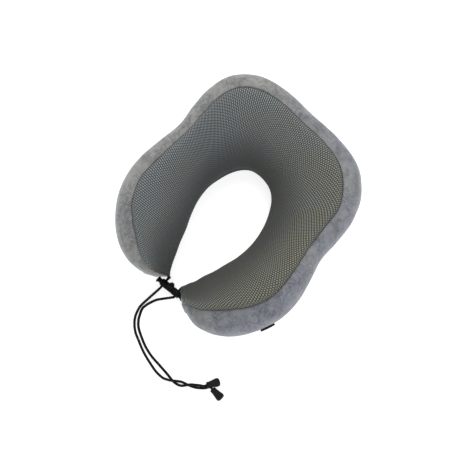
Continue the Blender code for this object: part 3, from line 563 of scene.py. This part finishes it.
def panel_grid(rings, first_knot, last_knot, columns):
    """A grid on the pillow from one seam to another, with its columns evenly spaced on each ring."""
    total = SECTION_KNOTS * SECTION_STEPS
    start, end = first_knot * SECTION_STEPS, last_knot * SECTION_STEPS
    if end <= start:
        end += total
    part = rings[:, np.arange(start, end + 1) % total]
    grid = np.empty((len(rings), columns + 1, 3))
    for r, row in enumerate(part):
        lengths = steps_between(row)
        wanted = np.linspace(0, lengths[-1], columns + 1)
        for axis in range(3):
            grid[r, :, axis] = np.interp(wanted, lengths, row[:, axis])
    return finished(grid)


def outward(grid):
    """Unit normals of a grid whose rows run along the U and whose columns run over it."""
    along = np.gradient(grid, axis=0)
    over = np.gradient(grid, axis=1)
    normal = np.cross(over, along)
    return normal / np.maximum(np.linalg.norm(normal, axis=2, keepdims=True), 1e-12)


def ripples(grid, scale, seed):
    """Smooth noise over a grid, about -1 to 1, with waves of about 1 / scale metres."""
    shift = Vector((seed * 7.3, seed * 3.1, seed * 5.7))
    flat = [noise.noise(Vector(point) * scale + shift) for point in grid.reshape(-1, 3)]
    return np.array(flat).reshape(grid.shape[:2])


def dents(grid, waves):
    """The soft unevenness of stuffed fabric."""
    return sum(height * ripples(grid, scale, seed) for height, scale, seed in waves)


def puckers(line):
    """The puckers along a seam, from one column of a grid."""
    return ripples(line, *PUCKER_RIPPLES)


def from_edge(grid, column):
    """Each grid point's distance over the pillow from a column of the grid."""
    step = np.linalg.norm(np.diff(grid, axis=1), axis=2)
    lengths = np.concatenate((np.zeros((len(grid), 1)), np.cumsum(step, axis=1)), axis=1)
    return np.abs(lengths - lengths[:, column][:, None])


def seam_line(rings, knot, depth):
    """The sunken line on which two panels meet."""
    middle = knot * SECTION_STEPS
    line = finished(rings[:, middle])
    over = finished(rings[:, middle + SEAM_SPAN]) - finished(rings[:, middle - SEAM_SPAN])
    normal = np.cross(over, np.gradient(line, axis=0))
    normal /= np.linalg.norm(normal, axis=1, keepdims=True)
    return line - normal * depth[:, None]


def seam_dip(distance, pucker):
    """How far fabric goes in by a seam: a groove and a roll, and puckers that fade away from it."""
    groove = SEAM_DEPTH * np.exp(-((distance / SEAM_WIDTH) ** 2))
    roll = ROLL_HEIGHT * np.exp(-(((distance - ROLL_PLACE) / ROLL_WIDTH) ** 2))
    return groove - roll + PUCKER_HEIGHT * pucker * np.exp(-distance / PUCKER_FADE)


def mesh_object(name, points, faces, finish, uvs=None, body="pillow"):
    """A smooth mesh piece, which rides on a body; uvs has a pair for each corner of each face in turn."""
    data = bpy.data.meshes.new(name)
    data.from_pydata([tuple(point) for point in points], [], faces)
    data.update()
    data.shade_smooth()
    if uvs is not None:
        layer = data.uv_layers.new(name="UVMap")
        layer.data.foreach_set("uv", np.asarray(uvs, np.float32).ravel())
    data.materials.append(finish)
    item = bpy.data.objects.new(name, data)
    bpy.context.scene.collection.objects.link(item)
    if body:
        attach(item, body)
    return item


def grid_faces(rows, columns, closed=False):
    """Quads of a grid of points, its columns joined round where it is closed."""
    r, c = np.meshgrid(np.arange(rows - 1), np.arange(columns if closed else columns - 1), indexing="ij")
    here, after = r * columns + c, r * columns + (c + 1) % columns
    return np.stack((here, after, after + columns, here + columns), axis=-1).reshape(-1, 4).tolist()


def end_faces(rows, columns):
    """The two end caps of a closed grid."""
    return [tuple(reversed(range(columns))), tuple((rows - 1) * columns + c for c in range(columns))]


def grid_uvs(rows, columns, row_step, column_step, closed=False):
    """UV pairs for the corners of grid_faces, one row or column of the grid being one step."""
    r, c = np.meshgrid(np.arange(rows - 1), np.arange(columns if closed else columns - 1), indexing="ij")
    u = np.stack((r, r, r + 1, r + 1), axis=-1) * row_step
    v = np.stack((c, c + 1, c + 1, c), axis=-1) * column_step
    return np.stack((u, v), axis=-1).reshape(-1, 2)


def grid_object(name, grid, finish, uvs, thickness=FABRIC_THICKNESS):
    """A fabric panel from a grid, thickened inwards."""
    rows, columns = grid.shape[:2]
    panel = mesh_object(name, grid.reshape(-1, 3), grid_faces(rows, columns), finish, uvs)
    solidify = panel.modifiers.new("thickness", "SOLIDIFY")
    solidify.thickness = thickness
    solidify.offset = -1.0
    return panel


def store(item, name, values):
    """Stores one number for each point, for the material to read."""
    attribute = item.data.attributes.new(name, "FLOAT", "POINT")
    attribute.data.foreach_set("value", np.asarray(values, np.float32).ravel())


def make_mesh_cover(finish):
    """The knitted top panel, its raised dots each a point of its grid; returns the rings that it lies on."""
    places = even_places(ROW_PITCH / 2)
    rings = rings_at(places)
    columns = COVER_COLUMNS
    grid = panel_grid(rings, SEAM_KNOT, BASE_INNER_KNOT, columns)
    rows = len(grid)
    row, column = np.meshgrid(np.arange(rows), np.arange(columns + 1), indexing="ij")
    raised = ((row % 2 == 0) & ((row // 2 + column) % 2 == 0)).astype(float)
    pucker = np.repeat(puckers(grid[:, :1]), columns + 1, axis=1)
    lift = raised * KNIT_RELIEF - seam_dip(from_edge(grid, 0), pucker) - seam_dip(from_edge(grid, columns), 0)
    lift += dents(grid, COVER_DENTS)
    uvs = grid_uvs(rows, columns + 1, 1 / 2, 1 / 2)
    grid += outward(grid) * lift[..., None]
    grid[:, 0] = seam_line(rings, SEAM_KNOT, seam_dip(0.0, pucker[:, 0]))
    grid[:, -1] = seam_line(rings, BASE_INNER_KNOT, seam_dip(0.0, pucker[:, 0]))
    cover = grid_object("mesh_cover", grid, finish, uvs)
    # Painted shade: the depth attribute darkens the knit from the crest seam down the neck wall, towards the
    # arm tips and along the right arm.
    tipward = ease((np.abs(places - LAST / 2) - TIP_SHADE_START) / (LAST / 2 - TIP_SHADE_START))
    rightward = ease((places - RIGHT_SHADE_START) / RIGHT_SHADE_LENGTH)
    shade = TIP_SHADE * tipward + RIGHT_SHADE * rightward
    store(cover, "depth", column / columns + shade[:, None] * np.minimum(column / SHADE_COLUMNS, 1))
    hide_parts("mesh_panel")
    return rings


def make_velvet_band(finish, rings):
    """The velvet side band, which meets the knit at the crest seam."""
    columns = BAND_COLUMNS
    grid = panel_grid(rings, BASE_OUTER_KNOT, SEAM_KNOT, columns)
    pucker = np.repeat(puckers(grid[:, -1:]), columns + 1, axis=1)
    lift = -seam_dip(from_edge(grid, columns), pucker) - seam_dip(from_edge(grid, 0), pucker)
    lift += dents(grid, BAND_DENTS)
    grid += outward(grid) * lift[..., None]
    crest = puckers(panel_grid(rings, SEAM_KNOT, BASE_INNER_KNOT, 1)[:, :1])[:, 0]
    grid[:, -1] = seam_line(rings, SEAM_KNOT, seam_dip(0.0, crest))
    band = grid_object("velvet_band", grid, finish, None)
    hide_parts("velvet_side_band")


def make_velvet_base(finish, rings):
    """The velvet base with its slot for the zip."""
    grid = panel_grid(rings, BASE_INNER_KNOT, BASE_OUTER_KNOT, BASE_COLUMNS)
    lift = -seam_dip(from_edge(grid, BASE_COLUMNS), 0) - seam_dip(from_edge(grid, 0), 0)
    grid += outward(grid) * np.minimum(lift, 0)[..., None]
    base = grid_object("velvet_base", grid, finish, None)
    apply_cut(base, zip_bar("zip_slot", ZIP_SLOT_HALF_WIDTH, ZIP_SLOT_HEIGHTS))
    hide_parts("velvet_base_panel")


def zip_bar(name, half_width, heights, steps=48):
    """A bar along the zip's circle, used as a cutter."""
    low, high = heights
    corners = [(-half_width, low), (half_width, low), (half_width, high), (-half_width, high)]
    points = []
    for k in range(steps + 1):
        angle = math.radians(ZIP_HALF_ANGLE * (2 * k / steps - 1))
        for across, height in corners:
            reach = ZIP_RADIUS + across
            points.append(ZIP_CENTRE + Vector((reach * math.sin(angle), reach * math.cos(angle), height)))
    faces = grid_faces(steps + 1, 4, closed=True) + [(3, 2, 1, 0), tuple(4 * steps + i for i in range(4))]
    return mesh_object(name, points, faces, None, body=None)


def apply_cut(target, cutter):
    """Cuts the cutter out of the target for good, and removes the cutter."""
    boolean = target.modifiers.new("cut", "BOOLEAN")
    boolean.object = cutter
    bpy.context.view_layer.update()
    shaped = target.evaluated_get(bpy.context.evaluated_depsgraph_get())
    data = bpy.data.meshes.new_from_object(shaped)
    target.modifiers.clear()
    target.data = data
    bpy.data.objects.remove(cutter, do_unlink=True)


def make_foam(finish, rings):
    """The foam block inside the cover."""
    grid = panel_grid(rings, 0, 0, FOAM_COLUMNS)[:, :-1]
    inside = grid - outward(grid) * FOAM_INSET
    rows, columns = inside.shape[:2]
    faces = grid_faces(rows, columns, closed=True)
    faces += end_faces(rows, columns)
    block = mesh_object("foam_block", inside.reshape(-1, 3), faces, finish)
    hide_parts("foam_core")


# The gathered tips.
TIP_ANGLES = (CAP_ANGLE - 2, 88)
TIP_STEPS = 14
TIP_PLEATS = 13
TIP_PLEAT_DEPTH = 0.05
TIP_TUCK = 0.6 * MM
TIP_DEPTH_SHADE = 0.42
TIP_UV_STEPS = (1 / 1.5, 1 / 3)


def make_tip(side, pole, knit_finish, velvet_finish):
    """The gathered end of the cover on an arm tip, pleated towards the cord, half knit and half velvet."""
    end = rings_at(np.array([0.0 if side < 0 else float(LAST)]))[0]
    first_angle, last_angle = TIP_ANGLES
    rings = []
    for k in range(TIP_STEPS + 1):
        part = k / TIP_STEPS
        ring = cap_ring(end, pole, side, first_angle + (last_angle - first_angle) * part)
        around = np.arange(len(ring)) * 2 * math.pi / len(ring)
        swell = math.sin(math.pi * min(part * 1.2, 1))
        fold = 1 + TIP_PLEAT_DEPTH * np.sin(TIP_PLEATS * around) * swell
        middle = ring.mean(axis=0)
        inwards = np.array((side * TIP_TUCK, 0, 0)) * math.sin(math.pi * part)
        rings.append(middle + (ring - middle) * fold[:, None] - inwards)
    grid = finished(np.stack(rings))
    name = "left_tip" if side < 0 else "right_tip"
    total = SECTION_KNOTS * SECTION_STEPS
    for part, finish, first, last in (
        ("_knit_gather", knit_finish, SEAM_KNOT, BASE_INNER_KNOT),
        ("_velvet_gather", velvet_finish, BASE_INNER_KNOT, SEAM_KNOT + SECTION_KNOTS),
    ):
        piece = grid[:, np.arange(first * SECTION_STEPS, last * SECTION_STEPS + 1) % total]
        if side < 0:
            piece = piece[::-1]
        rows, columns = piece.shape[:2]
        uvs = grid_uvs(rows, columns, *TIP_UV_STEPS)
        tip = grid_object(name + part, piece, finish, uvs)
        store(tip, "depth", np.full(rows * columns, TIP_DEPTH_SHADE))
        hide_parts(name + "_gusset")


# ------------------------ cords and what is on them

CORD_RADIUS = 1.6 * MM
CORD_POINT_SPACING = 0.6 * MM
CORD_SIDES = 20
ROUTE_STEPS = 24
TURNED_STEPS = 40
BRAID_PITCH = 3.4 * MM
BRAID_STRANDS = 4
BRAID_RELIEF = 0.08
# The cords' routes in millimetres, from the arm tip through the lock, over the floor to the bell.
LEFT_ROUTE = (
    (-6.6, -122.0, 24.0), (-5.9, -120.8, 17.5), (-6.4, -121.6, 11.8), (-7.1, -125, 9.1), (-6.77, -130.6, 8.8),
    (-6.3, -136.6, 8.8), (-6.4, -141, 8.7), (-7.0, -146.9, 8), (-7.9, -154.4, 5.6), (-8.8, -161.9, 3),
    (-9.4, -169, 1.7), (-8.7, -175.2, 1.5), (-4.9, -185.2, 1.5), (1.3, -193, 1.5), (9.2, -199.1, 1.5),
    (18.9, -203.6, 1.5), (28.7, -207.9, 1.5), (39.2, -211.5, 1.5), (50.6, -214.3, 1.5), (61.6, -216.4, 1.5),
    (71.8, -216.1, 1.7), (78, -213.6, 3.6), (82.8, -210.6, 4.9), (88.4, -206.4, 3.4), (92.4, -203.8, 1.7),
    (97, -202.2, 1.5), (101.3, -200.8, 1.5), (106, -198.9, 1.5), (110.3, -196.6, 1.5), (114.6, -193.3, 1.5),
    (118.6, -189.6, 1.9),
)
RIGHT_ROUTE = (
    (14.9, -124.6, 24.5), (14.2, -120.2, 17.5), (13.6, -119.4, 11.9), (13.2, -123.0, 9.0),
    (13.57, -129.0, 8.8), (13.9, -134.2, 8.8), (11.7, -137.8, 8.9), (6.0, -144.8, 8.4), (0.4, -152.0, 6.3),
    (-3.3, -160.2, 3.4), (-5, -166.2, 1.9), (-5.4, -172.1, 1.5), (-2.4, -179.4, 1.5), (1.5, -186, 1.5),
    (8.7, -192.8, 1.5), (22.7, -200, 1.5), (32.9, -203.9, 1.5), (44.5, -206.5, 1.5), (57, -207.6, 1.5),
    (69, -208.6, 1.5), (78, -209.6, 1.5), (84, -210.4, 1.5), (91, -209.5, 1.5), (95.4, -207.4, 1.9),
    (98.2, -204.4, 3.8), (100.6, -201, 5.1), (103.6, -197.6, 5.2), (107.6, -194.6, 5.4), (111.4, -191.6, 6.6),
)
LEFT_BELL_START = Vector((126.0, -184.2, 4.0)) * MM
LEFT_BELL_ANGLES = (-2, 6)
RIGHT_BELL_START = Vector((118.0, -185.4, 9.2)) * MM
RIGHT_BELL_ANGLES = (59, -13)
# Radius and height in millimetres: out of the mouth, over the outside to the neck, and in up the cord's bore.
BELL_PROFILE = (
    (2.9, 9.4), (2.9, 15.5), (3.2, 16.15), (3.7, 16.4), (4.3, 16.15), (4.9, 15.5), (5.3, 14.5), (5.42, 13.3),
    (5.3, 12.0), (4.9, 9.8), (4.4, 7.2), (4.0, 4.8), (3.75, 3.0), (3.95, 2.6), (3.95, 1.2), (3.6, 0.35),
    (2.9, 0.0), (2.1, 0.1), (1.9, 0.8), (1.9, 9.0),
)
BELL_LEAD_IN = 3.5 * MM
BELL_CORD_DEPTH = 8.6 * MM
KNOT_DEPTH = 11.6 * MM
KNOT_SIZE = 0.5 * MM
KNOT_RADIUS = 0.95 * MM
KNOT_STEPS = 48
# Where the right cord's pieces meet: between the arm tip and the lock, and inside the lock.
RIGHT_LEAD_SPLIT = 2
RIGHT_LOCK_SPLIT = 4


def smooth_path(route, spacing):
    """Evenly spaced points on a smooth curve through a route, and the route's points as places on it."""
    route = np.array(route)
    ends = np.vstack((2 * route[0] - route[1], route, 2 * route[-1] - route[-2]))
    parts = np.linspace(0, 1, ROUTE_STEPS, endpoint=False)[:, None]
    runs = [catmull(*ends[i:i + 4], parts) for i in range(len(route) - 1)]
    dense = np.vstack(runs + [route[-1:]])
    lengths = steps_between(dense)
    count = round(lengths[-1] / spacing)
    wanted = np.linspace(0, lengths[-1], count + 1)
    points = np.column_stack([np.interp(wanted, lengths, dense[:, k]) for k in range(3)])
    return points, lengths[::ROUTE_STEPS] / lengths[-1] * count


def frames_along(points):
    """Two unit vectors across a path at each of its points, which don't twist along it."""
    along = np.gradient(points, axis=0)
    along /= np.linalg.norm(along, axis=1, keepdims=True)
    side = np.cross(along[0], (0.3, 0.2, 1.0))
    sides = []
    for direction in along:
        side = side - direction * side.dot(direction)
        side = side / np.linalg.norm(side)
        sides.append(side)
    sides = np.array(sides)
    return sides, np.cross(along, sides)


def braided(name, points, first, finish):
    """A braided cord along points, which are the path's from number first on."""
    rows = len(points)
    sides, ups = frames_along(points)
    turn = np.arange(CORD_SIDES) / CORD_SIDES
    u = (np.arange(rows)[:, None] + first) * CORD_POINT_SPACING / BRAID_PITCH
    v = turn[None, :] * BRAID_STRANDS
    relief = np.sin(2 * np.pi * (u + v)) * np.sin(2 * np.pi * (u - v))
    radius = CORD_RADIUS * (1 + BRAID_RELIEF * relief)[..., None]
    around = (turn * 2 * np.pi)[None, :, None]
    grid = points[:, None] + radius * (np.cos(around) * sides[:, None] + np.sin(around) * ups[:, None])
    faces = grid_faces(rows, CORD_SIDES, closed=True)
    faces += end_faces(rows, CORD_SIDES)
    step = CORD_POINT_SPACING / BRAID_PITCH
    uvs = grid_uvs(rows, CORD_SIDES, step, BRAID_STRANDS / CORD_SIDES, closed=True)
    uvs += (first * step, 0)
    uvs = np.vstack((uvs, np.zeros((2 * CORD_SIDES, 2))))
    return mesh_object(name, grid.reshape(-1, 3), faces, finish, uvs, body=None)


def turned(name, profile, place, axis, finish, body):
    """A turned piece from a closed profile of radius and height, its own Z laid along an axis."""
    steps = TURNED_STEPS
    turn = np.arange(steps) * 2 * np.pi / steps
    profile = np.array(profile) * MM
    grid = np.stack(
        (
            profile[:, 0, None] * np.cos(turn),
            profile[:, 0, None] * np.sin(turn),
            np.repeat(profile[:, 1, None], steps, axis=1),
        ),
        axis=-1,
    )
    grid = np.vstack((grid, grid[:1]))
    rows = len(profile)
    faces = grid_faces(rows + 1, steps, closed=True)
    faces = [[corner % (rows * steps) for corner in face] for face in faces]
    item = mesh_object(name, grid[:-1].reshape(-1, 3), faces, finish, body=None)
    item.matrix_world = Matrix.Translation(place) @ UP.rotation_difference(axis).to_matrix().to_4x4()
    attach(item, body)
    return item


def curve_object(name, points, radius, finish, body, cyclic=False, resolution=2):
    """A round wire through points."""
    data = bpy.data.curves.new(name, "CURVE")
    data.dimensions = "3D"
    data.bevel_depth = radius
    data.bevel_resolution = resolution
    data.use_fill_caps = True
    spline = data.splines.new("POLY")
    spline.points.add(len(points) - 1)
    spline.use_cyclic_u = cyclic
    for slot, point in zip(spline.points, points):
        slot.co = (*point, 1.0)
    data.materials.append(finish)
    item = bpy.data.objects.new(name, data)
    bpy.context.scene.collection.objects.link(item)
    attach(item, body)
    return item


def bell_axis(turn, tilt):
    """The direction from a bell's neck to its mouth."""
    turn, tilt = math.radians(turn), math.radians(tilt)
    return Vector((math.cos(turn) * math.cos(tilt), math.sin(turn) * math.cos(tilt), math.sin(tilt)))


def make_bell(side, start, axis, plastic, cord):
    """A bell end, and the knot inside it that keeps it on its cord."""
    bell = turned(side + "_bell_end", BELL_PROFILE, start, axis, plastic, "lock_left")
    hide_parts(side + "_bell")
    turn = UP.rotation_difference(axis).to_matrix()
    points = []
    for k in range(KNOT_STEPS):
        t = 2 * math.pi * k / KNOT_STEPS
        across = math.sin(t) + 2 * math.sin(2 * t), math.cos(t) - 2 * math.cos(2 * t)
        loop = Vector((*across, -math.sin(3 * t)))
        points.append(start + axis * KNOT_DEPTH + turn @ (loop * KNOT_SIZE))
    knot = curve_object(side + "_cord_knot", points, KNOT_RADIUS, cord, "lock_left", cyclic=True)
    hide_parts(side + "_knot")
    return [bell, knot]


def make_left_cord(plastic, cord):
    """The left cord, whole, in one piece from the arm tip through the lock to its bell."""
    axis = bell_axis(*LEFT_BELL_ANGLES)
    route = [Vector(point) * MM for point in LEFT_ROUTE] + [LEFT_BELL_START - axis * BELL_LEAD_IN]
    route += [LEFT_BELL_START, LEFT_BELL_START + axis * BELL_CORD_DEPTH]
    points, _ = smooth_path(route, CORD_POINT_SPACING)
    piece = braided("left_braid", points, 0, cord)
    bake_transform(piece)
    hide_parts("left_cord")
    ends = make_bell("left", LEFT_BELL_START, axis, plastic, cord)


def make_right_cord(plastic, cord):
    """The right cord, in three pieces, because it crosses both the cinch and the lock's joint."""
    axis = bell_axis(*RIGHT_BELL_ANGLES)
    route = [Vector(point) * MM for point in RIGHT_ROUTE] + [RIGHT_BELL_START - axis * BELL_LEAD_IN]
    route += [RIGHT_BELL_START, RIGHT_BELL_START + axis * BELL_CORD_DEPTH]
    points, marks = smooth_path(route, CORD_POINT_SPACING)
    first, second = round(marks[RIGHT_LEAD_SPLIT]), round(marks[RIGHT_LOCK_SPLIT])
    upper = braided("right_braid_upper", points[:first + 1], 0, cord)
    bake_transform(upper)
    lower = braided("right_braid_lower", points[first:second + 1], first, cord)
    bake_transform(lower)
    tail = braided("right_braid_tail", points[second:], second, cord)
    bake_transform(tail)
    ends = make_bell("right", RIGHT_BELL_START, axis, plastic, cord)
    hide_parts("right_cord")


# ------------------------ lock

LOCK_CENTRE = Vector((3.4, -129.8, 8.8)) * MM
LOCK_ALONG = Vector((0.99692, 0.07846, 0))
LATCH_X = -1.2 * MM
# Half widths along the lock and up, in millimetres: outside, then inside.
LATCH_FRAME = ((3.2, 3.7), (2.25, 2.75))
LATCH_FRAME_REACH = (3.6 * MM, 6.1 * MM)
LATCH_CORNER = 0.35
LATCH_STEPS = 32
LATCH_BEVEL = 0.25 * MM
# Places along the lock, and radius and height of the profile, in millimetres.
GRIP_RIBS = (-5.6, -7.0, 5.0, 6.4)
GRIP_PROFILE = ((4.6, -0.5), (4.6, 0.5), (4.85, 0.35), (4.98, 0.0), (4.85, -0.35))


def make_latch_frame(plastic):
    """The raised frame round the latch button, a squarish tube."""
    turn = Matrix((LOCK_ALONG, UP.cross(LOCK_ALONG), UP)).transposed()
    points = []
    for reach in LATCH_FRAME_REACH:
        for half_x, half_z in LATCH_FRAME:
            for k in range(LATCH_STEPS):
                angle = 2 * math.pi * k / LATCH_STEPS
                circle = math.cos(angle), math.sin(angle)
                corner = [math.copysign(abs(part) ** LATCH_CORNER, part) for part in circle]
                local = Vector((LATCH_X + half_x * MM * corner[0], reach, half_z * MM * corner[1]))
                points.append(LOCK_CENTRE + turn @ local)
    faces = []
    for first, second in ((0, 1), (1, 3), (3, 2), (2, 0)):
        first, second = first * LATCH_STEPS, second * LATCH_STEPS
        for k in range(LATCH_STEPS):
            after = (k + 1) % LATCH_STEPS
            faces.append((first + k, second + k, second + after, first + after))
    latch_frame = mesh_object("latch_frame", points, faces, plastic, body="lock_left")
    bevel = latch_frame.modifiers.new("bevel", "BEVEL")
    bevel.width = LATCH_BEVEL
    bevel.segments = 2


def make_lock(plastic, wire):
    """The cord lock keeps its CAD shapes; its latch gets a raised frame and its barrel small grip ribs."""
    for node in ("lock_socket", "lock_plug", "left_plunger", "right_plunger", "latch_button"):
        paint(node, plastic)
    for node in ("left_plunger_spring", "right_plunger_spring"):
        paint(node, wire)
    make_latch_frame(plastic)
    for rib in GRIP_RIBS:
        place = LOCK_CENTRE + LOCK_ALONG * rib * MM
        body = "lock_left" if rib < 0 else "lock_right"
        ring = turned("grip_rib", GRIP_PROFILE, place, LOCK_ALONG, plastic, body)


# ------------------------ zip

ZIP_COIL_CENTRE_HEIGHT = 8.2 * MM
ZIP_COIL_OFFSET = 0.75 * MM
ZIP_COIL_RADIUS = 0.62 * MM
ZIP_COIL_WIRE = 0.2 * MM
ZIP_COIL_PITCH = 1.25 * MM
ZIP_COIL_ANGLE = 54.9
ZIP_COIL_STEPS = 10


def make_zip(nylon, tape, metal):
    """The teeth as two wound coils; tapes, stops, slider and pull keep their CAD shapes."""
    turns = round(2 * math.radians(ZIP_COIL_ANGLE) * ZIP_RADIUS / ZIP_COIL_PITCH)
    steps = ZIP_COIL_STEPS
    for name, side in (("inner", -1), ("outer", 1)):
        points = []
        for k in range(turns * steps + 1):
            angle = math.radians(ZIP_COIL_ANGLE) * (2 * k / (turns * steps) - 1)
            wind = 2 * math.pi * (k / steps + (0.5 if side < 0 else 0))
            reach = ZIP_RADIUS + side * ZIP_COIL_OFFSET + ZIP_COIL_RADIUS * math.cos(wind)
            height = ZIP_COIL_CENTRE_HEIGHT + 0.8 * ZIP_COIL_RADIUS * math.sin(wind)
            points.append(ZIP_CENTRE + Vector((reach * math.sin(angle), reach * math.cos(angle), height)))
        coil = curve_object("zip_teeth_" + name, points, ZIP_COIL_WIRE, nylon, "pillow", resolution=1)
        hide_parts("zip_coil_" + name)
        paint("zip_tape_" + name, tape)
    for name in ("zip_stop_left", "zip_stop_right", "zip_slider", "zip_pull"):
        paint(name, metal)


def paint(node, finish):
    """Gives a CAD node a better material."""
    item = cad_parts[node]
    if not item.material_slots:
        item.data.materials.append(finish)
    for slot in item.material_slots:
        slot.material = finish


# ------------------------ patch

# Places on the right arm, counted in stations from the middle of the back.
PATCH_PLACES = (9.25, 9.93)
PATCH_HEIGHT = 12 * MM
PATCH_STANDOFF = 0.1 * MM
PATCH_THICKNESS = 1.6 * MM
PATCH_RIM = 0.3 * MM
PATCH_SINK = 1.6 * MM
PATCH_CORNER = 0.22
PATCH_RIM_START = 0.72
PATCH_RIM_RISE = 0.12
PATCH_STEPS = 24


def make_patch(finish):
    """The blank rubber patch on the right arm: round corners, a raised rim and its back sunk into the nap."""
    steps = PATCH_STEPS
    sides = np.linspace(-1, 1, steps + 1)
    a, b = np.meshgrid(sides, sides, indexing="ij")
    along = a * (1 - PATCH_CORNER * b ** 6)
    over = b * (1 - PATCH_CORNER * a ** 6)
    middle = LAST / 2 + sum(PATCH_PLACES) / 2
    places = middle + along * (PATCH_PLACES[1] - PATCH_PLACES[0]) / 2
    wall = SEAM_KNOT * SECTION_STEPS
    points = np.empty((steps + 1, steps + 1, 3))
    for r in range(steps + 1):
        for c, ring in enumerate(rings_at(places[r])):
            around = np.roll(ring, wall, axis=0)
            lengths = steps_between(around)
            wanted = lengths[wall] + over[r, c] * PATCH_HEIGHT / 2
            points[r, c] = [np.interp(wanted, lengths, around[:, axis]) for axis in range(3)]
    grid = finished(points)
    edge = np.maximum(np.abs(a), np.abs(b))
    rim = PATCH_RIM * ease((edge - PATCH_RIM_START) / PATCH_RIM_RISE)
    grid += outward(grid) * (PATCH_STANDOFF + PATCH_THICKNESS + rim)[..., None]
    uvs = grid_uvs(steps + 1, steps + 1, 1 / steps, 1 / steps)
    patch = grid_object("blank_patch", grid, finish, uvs, PATCH_THICKNESS + PATCH_SINK)
    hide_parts("side_patch")


# ------------------------ stage


FLOOR_SIZE = 12
FLOOR_HEIGHT = -0.2 * MM
FLOOR_GLOW = 0.72
WORLD_STRENGTH = 0.55
# Area lights: name, place, size and power.
LIGHTS = (
    ("key", (-0.9, 0.9, 1.8), 1.6, 26),
    ("fill", (1.2, -0.6, 1.6), 1.8, 12),
)


def make_stage():
    """A plain pale floor and soft studio light."""
    bpy.ops.mesh.primitive_plane_add(size=FLOOR_SIZE, location=(0, 0, FLOOR_HEIGHT))
    floor = bpy.context.object
    floor.name = "floor"
    n = Nodes("pale_floor", 0.9, Specular_IOR_Level=0.1)
    n.shader.inputs["Base Color"].default_value = (0.60, 0.60, 0.60, 1)
    n.shader.inputs["Emission Color"].default_value = (1, 1, 1, 1)
    n.shader.inputs["Emission Strength"].default_value = FLOOR_GLOW
    floor.data.materials.append(n.material)
    for name, place, size, power in LIGHTS:
        data = bpy.data.lights.new(name, "AREA")
        data.size = size
        data.energy = power
        light = bpy.data.objects.new(name, data)
        bpy.context.scene.collection.objects.link(light)
        light.location = place
        light.rotation_euler = (-Vector(place)).to_track_quat("-Z", "Y").to_euler()
    world = bpy.data.worlds.new("studio")
    bpy.context.scene.world = world
    world.use_nodes = True
    background = world.node_tree.nodes["Background"]
    background.inputs["Color"].default_value = (1, 1, 1, 1)
    background.inputs["Strength"].default_value = WORLD_STRENGTH
    bpy.context.scene.view_settings.view_transform = "Standard"


make_camera()
cord_finish = braid()
bell_plastic = moulded("bell_plastic", (0.0085, 0.009, 0.0105), roughness=0.5)
make_left_cord(bell_plastic, cord_finish)
make_right_cord(bell_plastic, cord_finish)

knit = mesh_fabric()
nap = velvet()
rings = make_mesh_cover(knit)
make_velvet_band(nap, rings[::2])
make_velvet_base(nap, rings[::3])
make_foam(foam(), rings[::6])
make_tip(-1, LEFT_POLE, knit, nap)
make_tip(1, RIGHT_POLE, knit, nap)
make_zip(coil_nylon(), woven_tape(), painted_metal())
make_patch(moulded("black_rubber", (0.012, 0.012, 0.013), roughness=0.62, grain=2200))

lock_plastic = moulded("lock_plastic", (0.004, 0.0042, 0.0048), roughness=0.4)
make_lock(lock_plastic, drawn_wire())

make_stage()
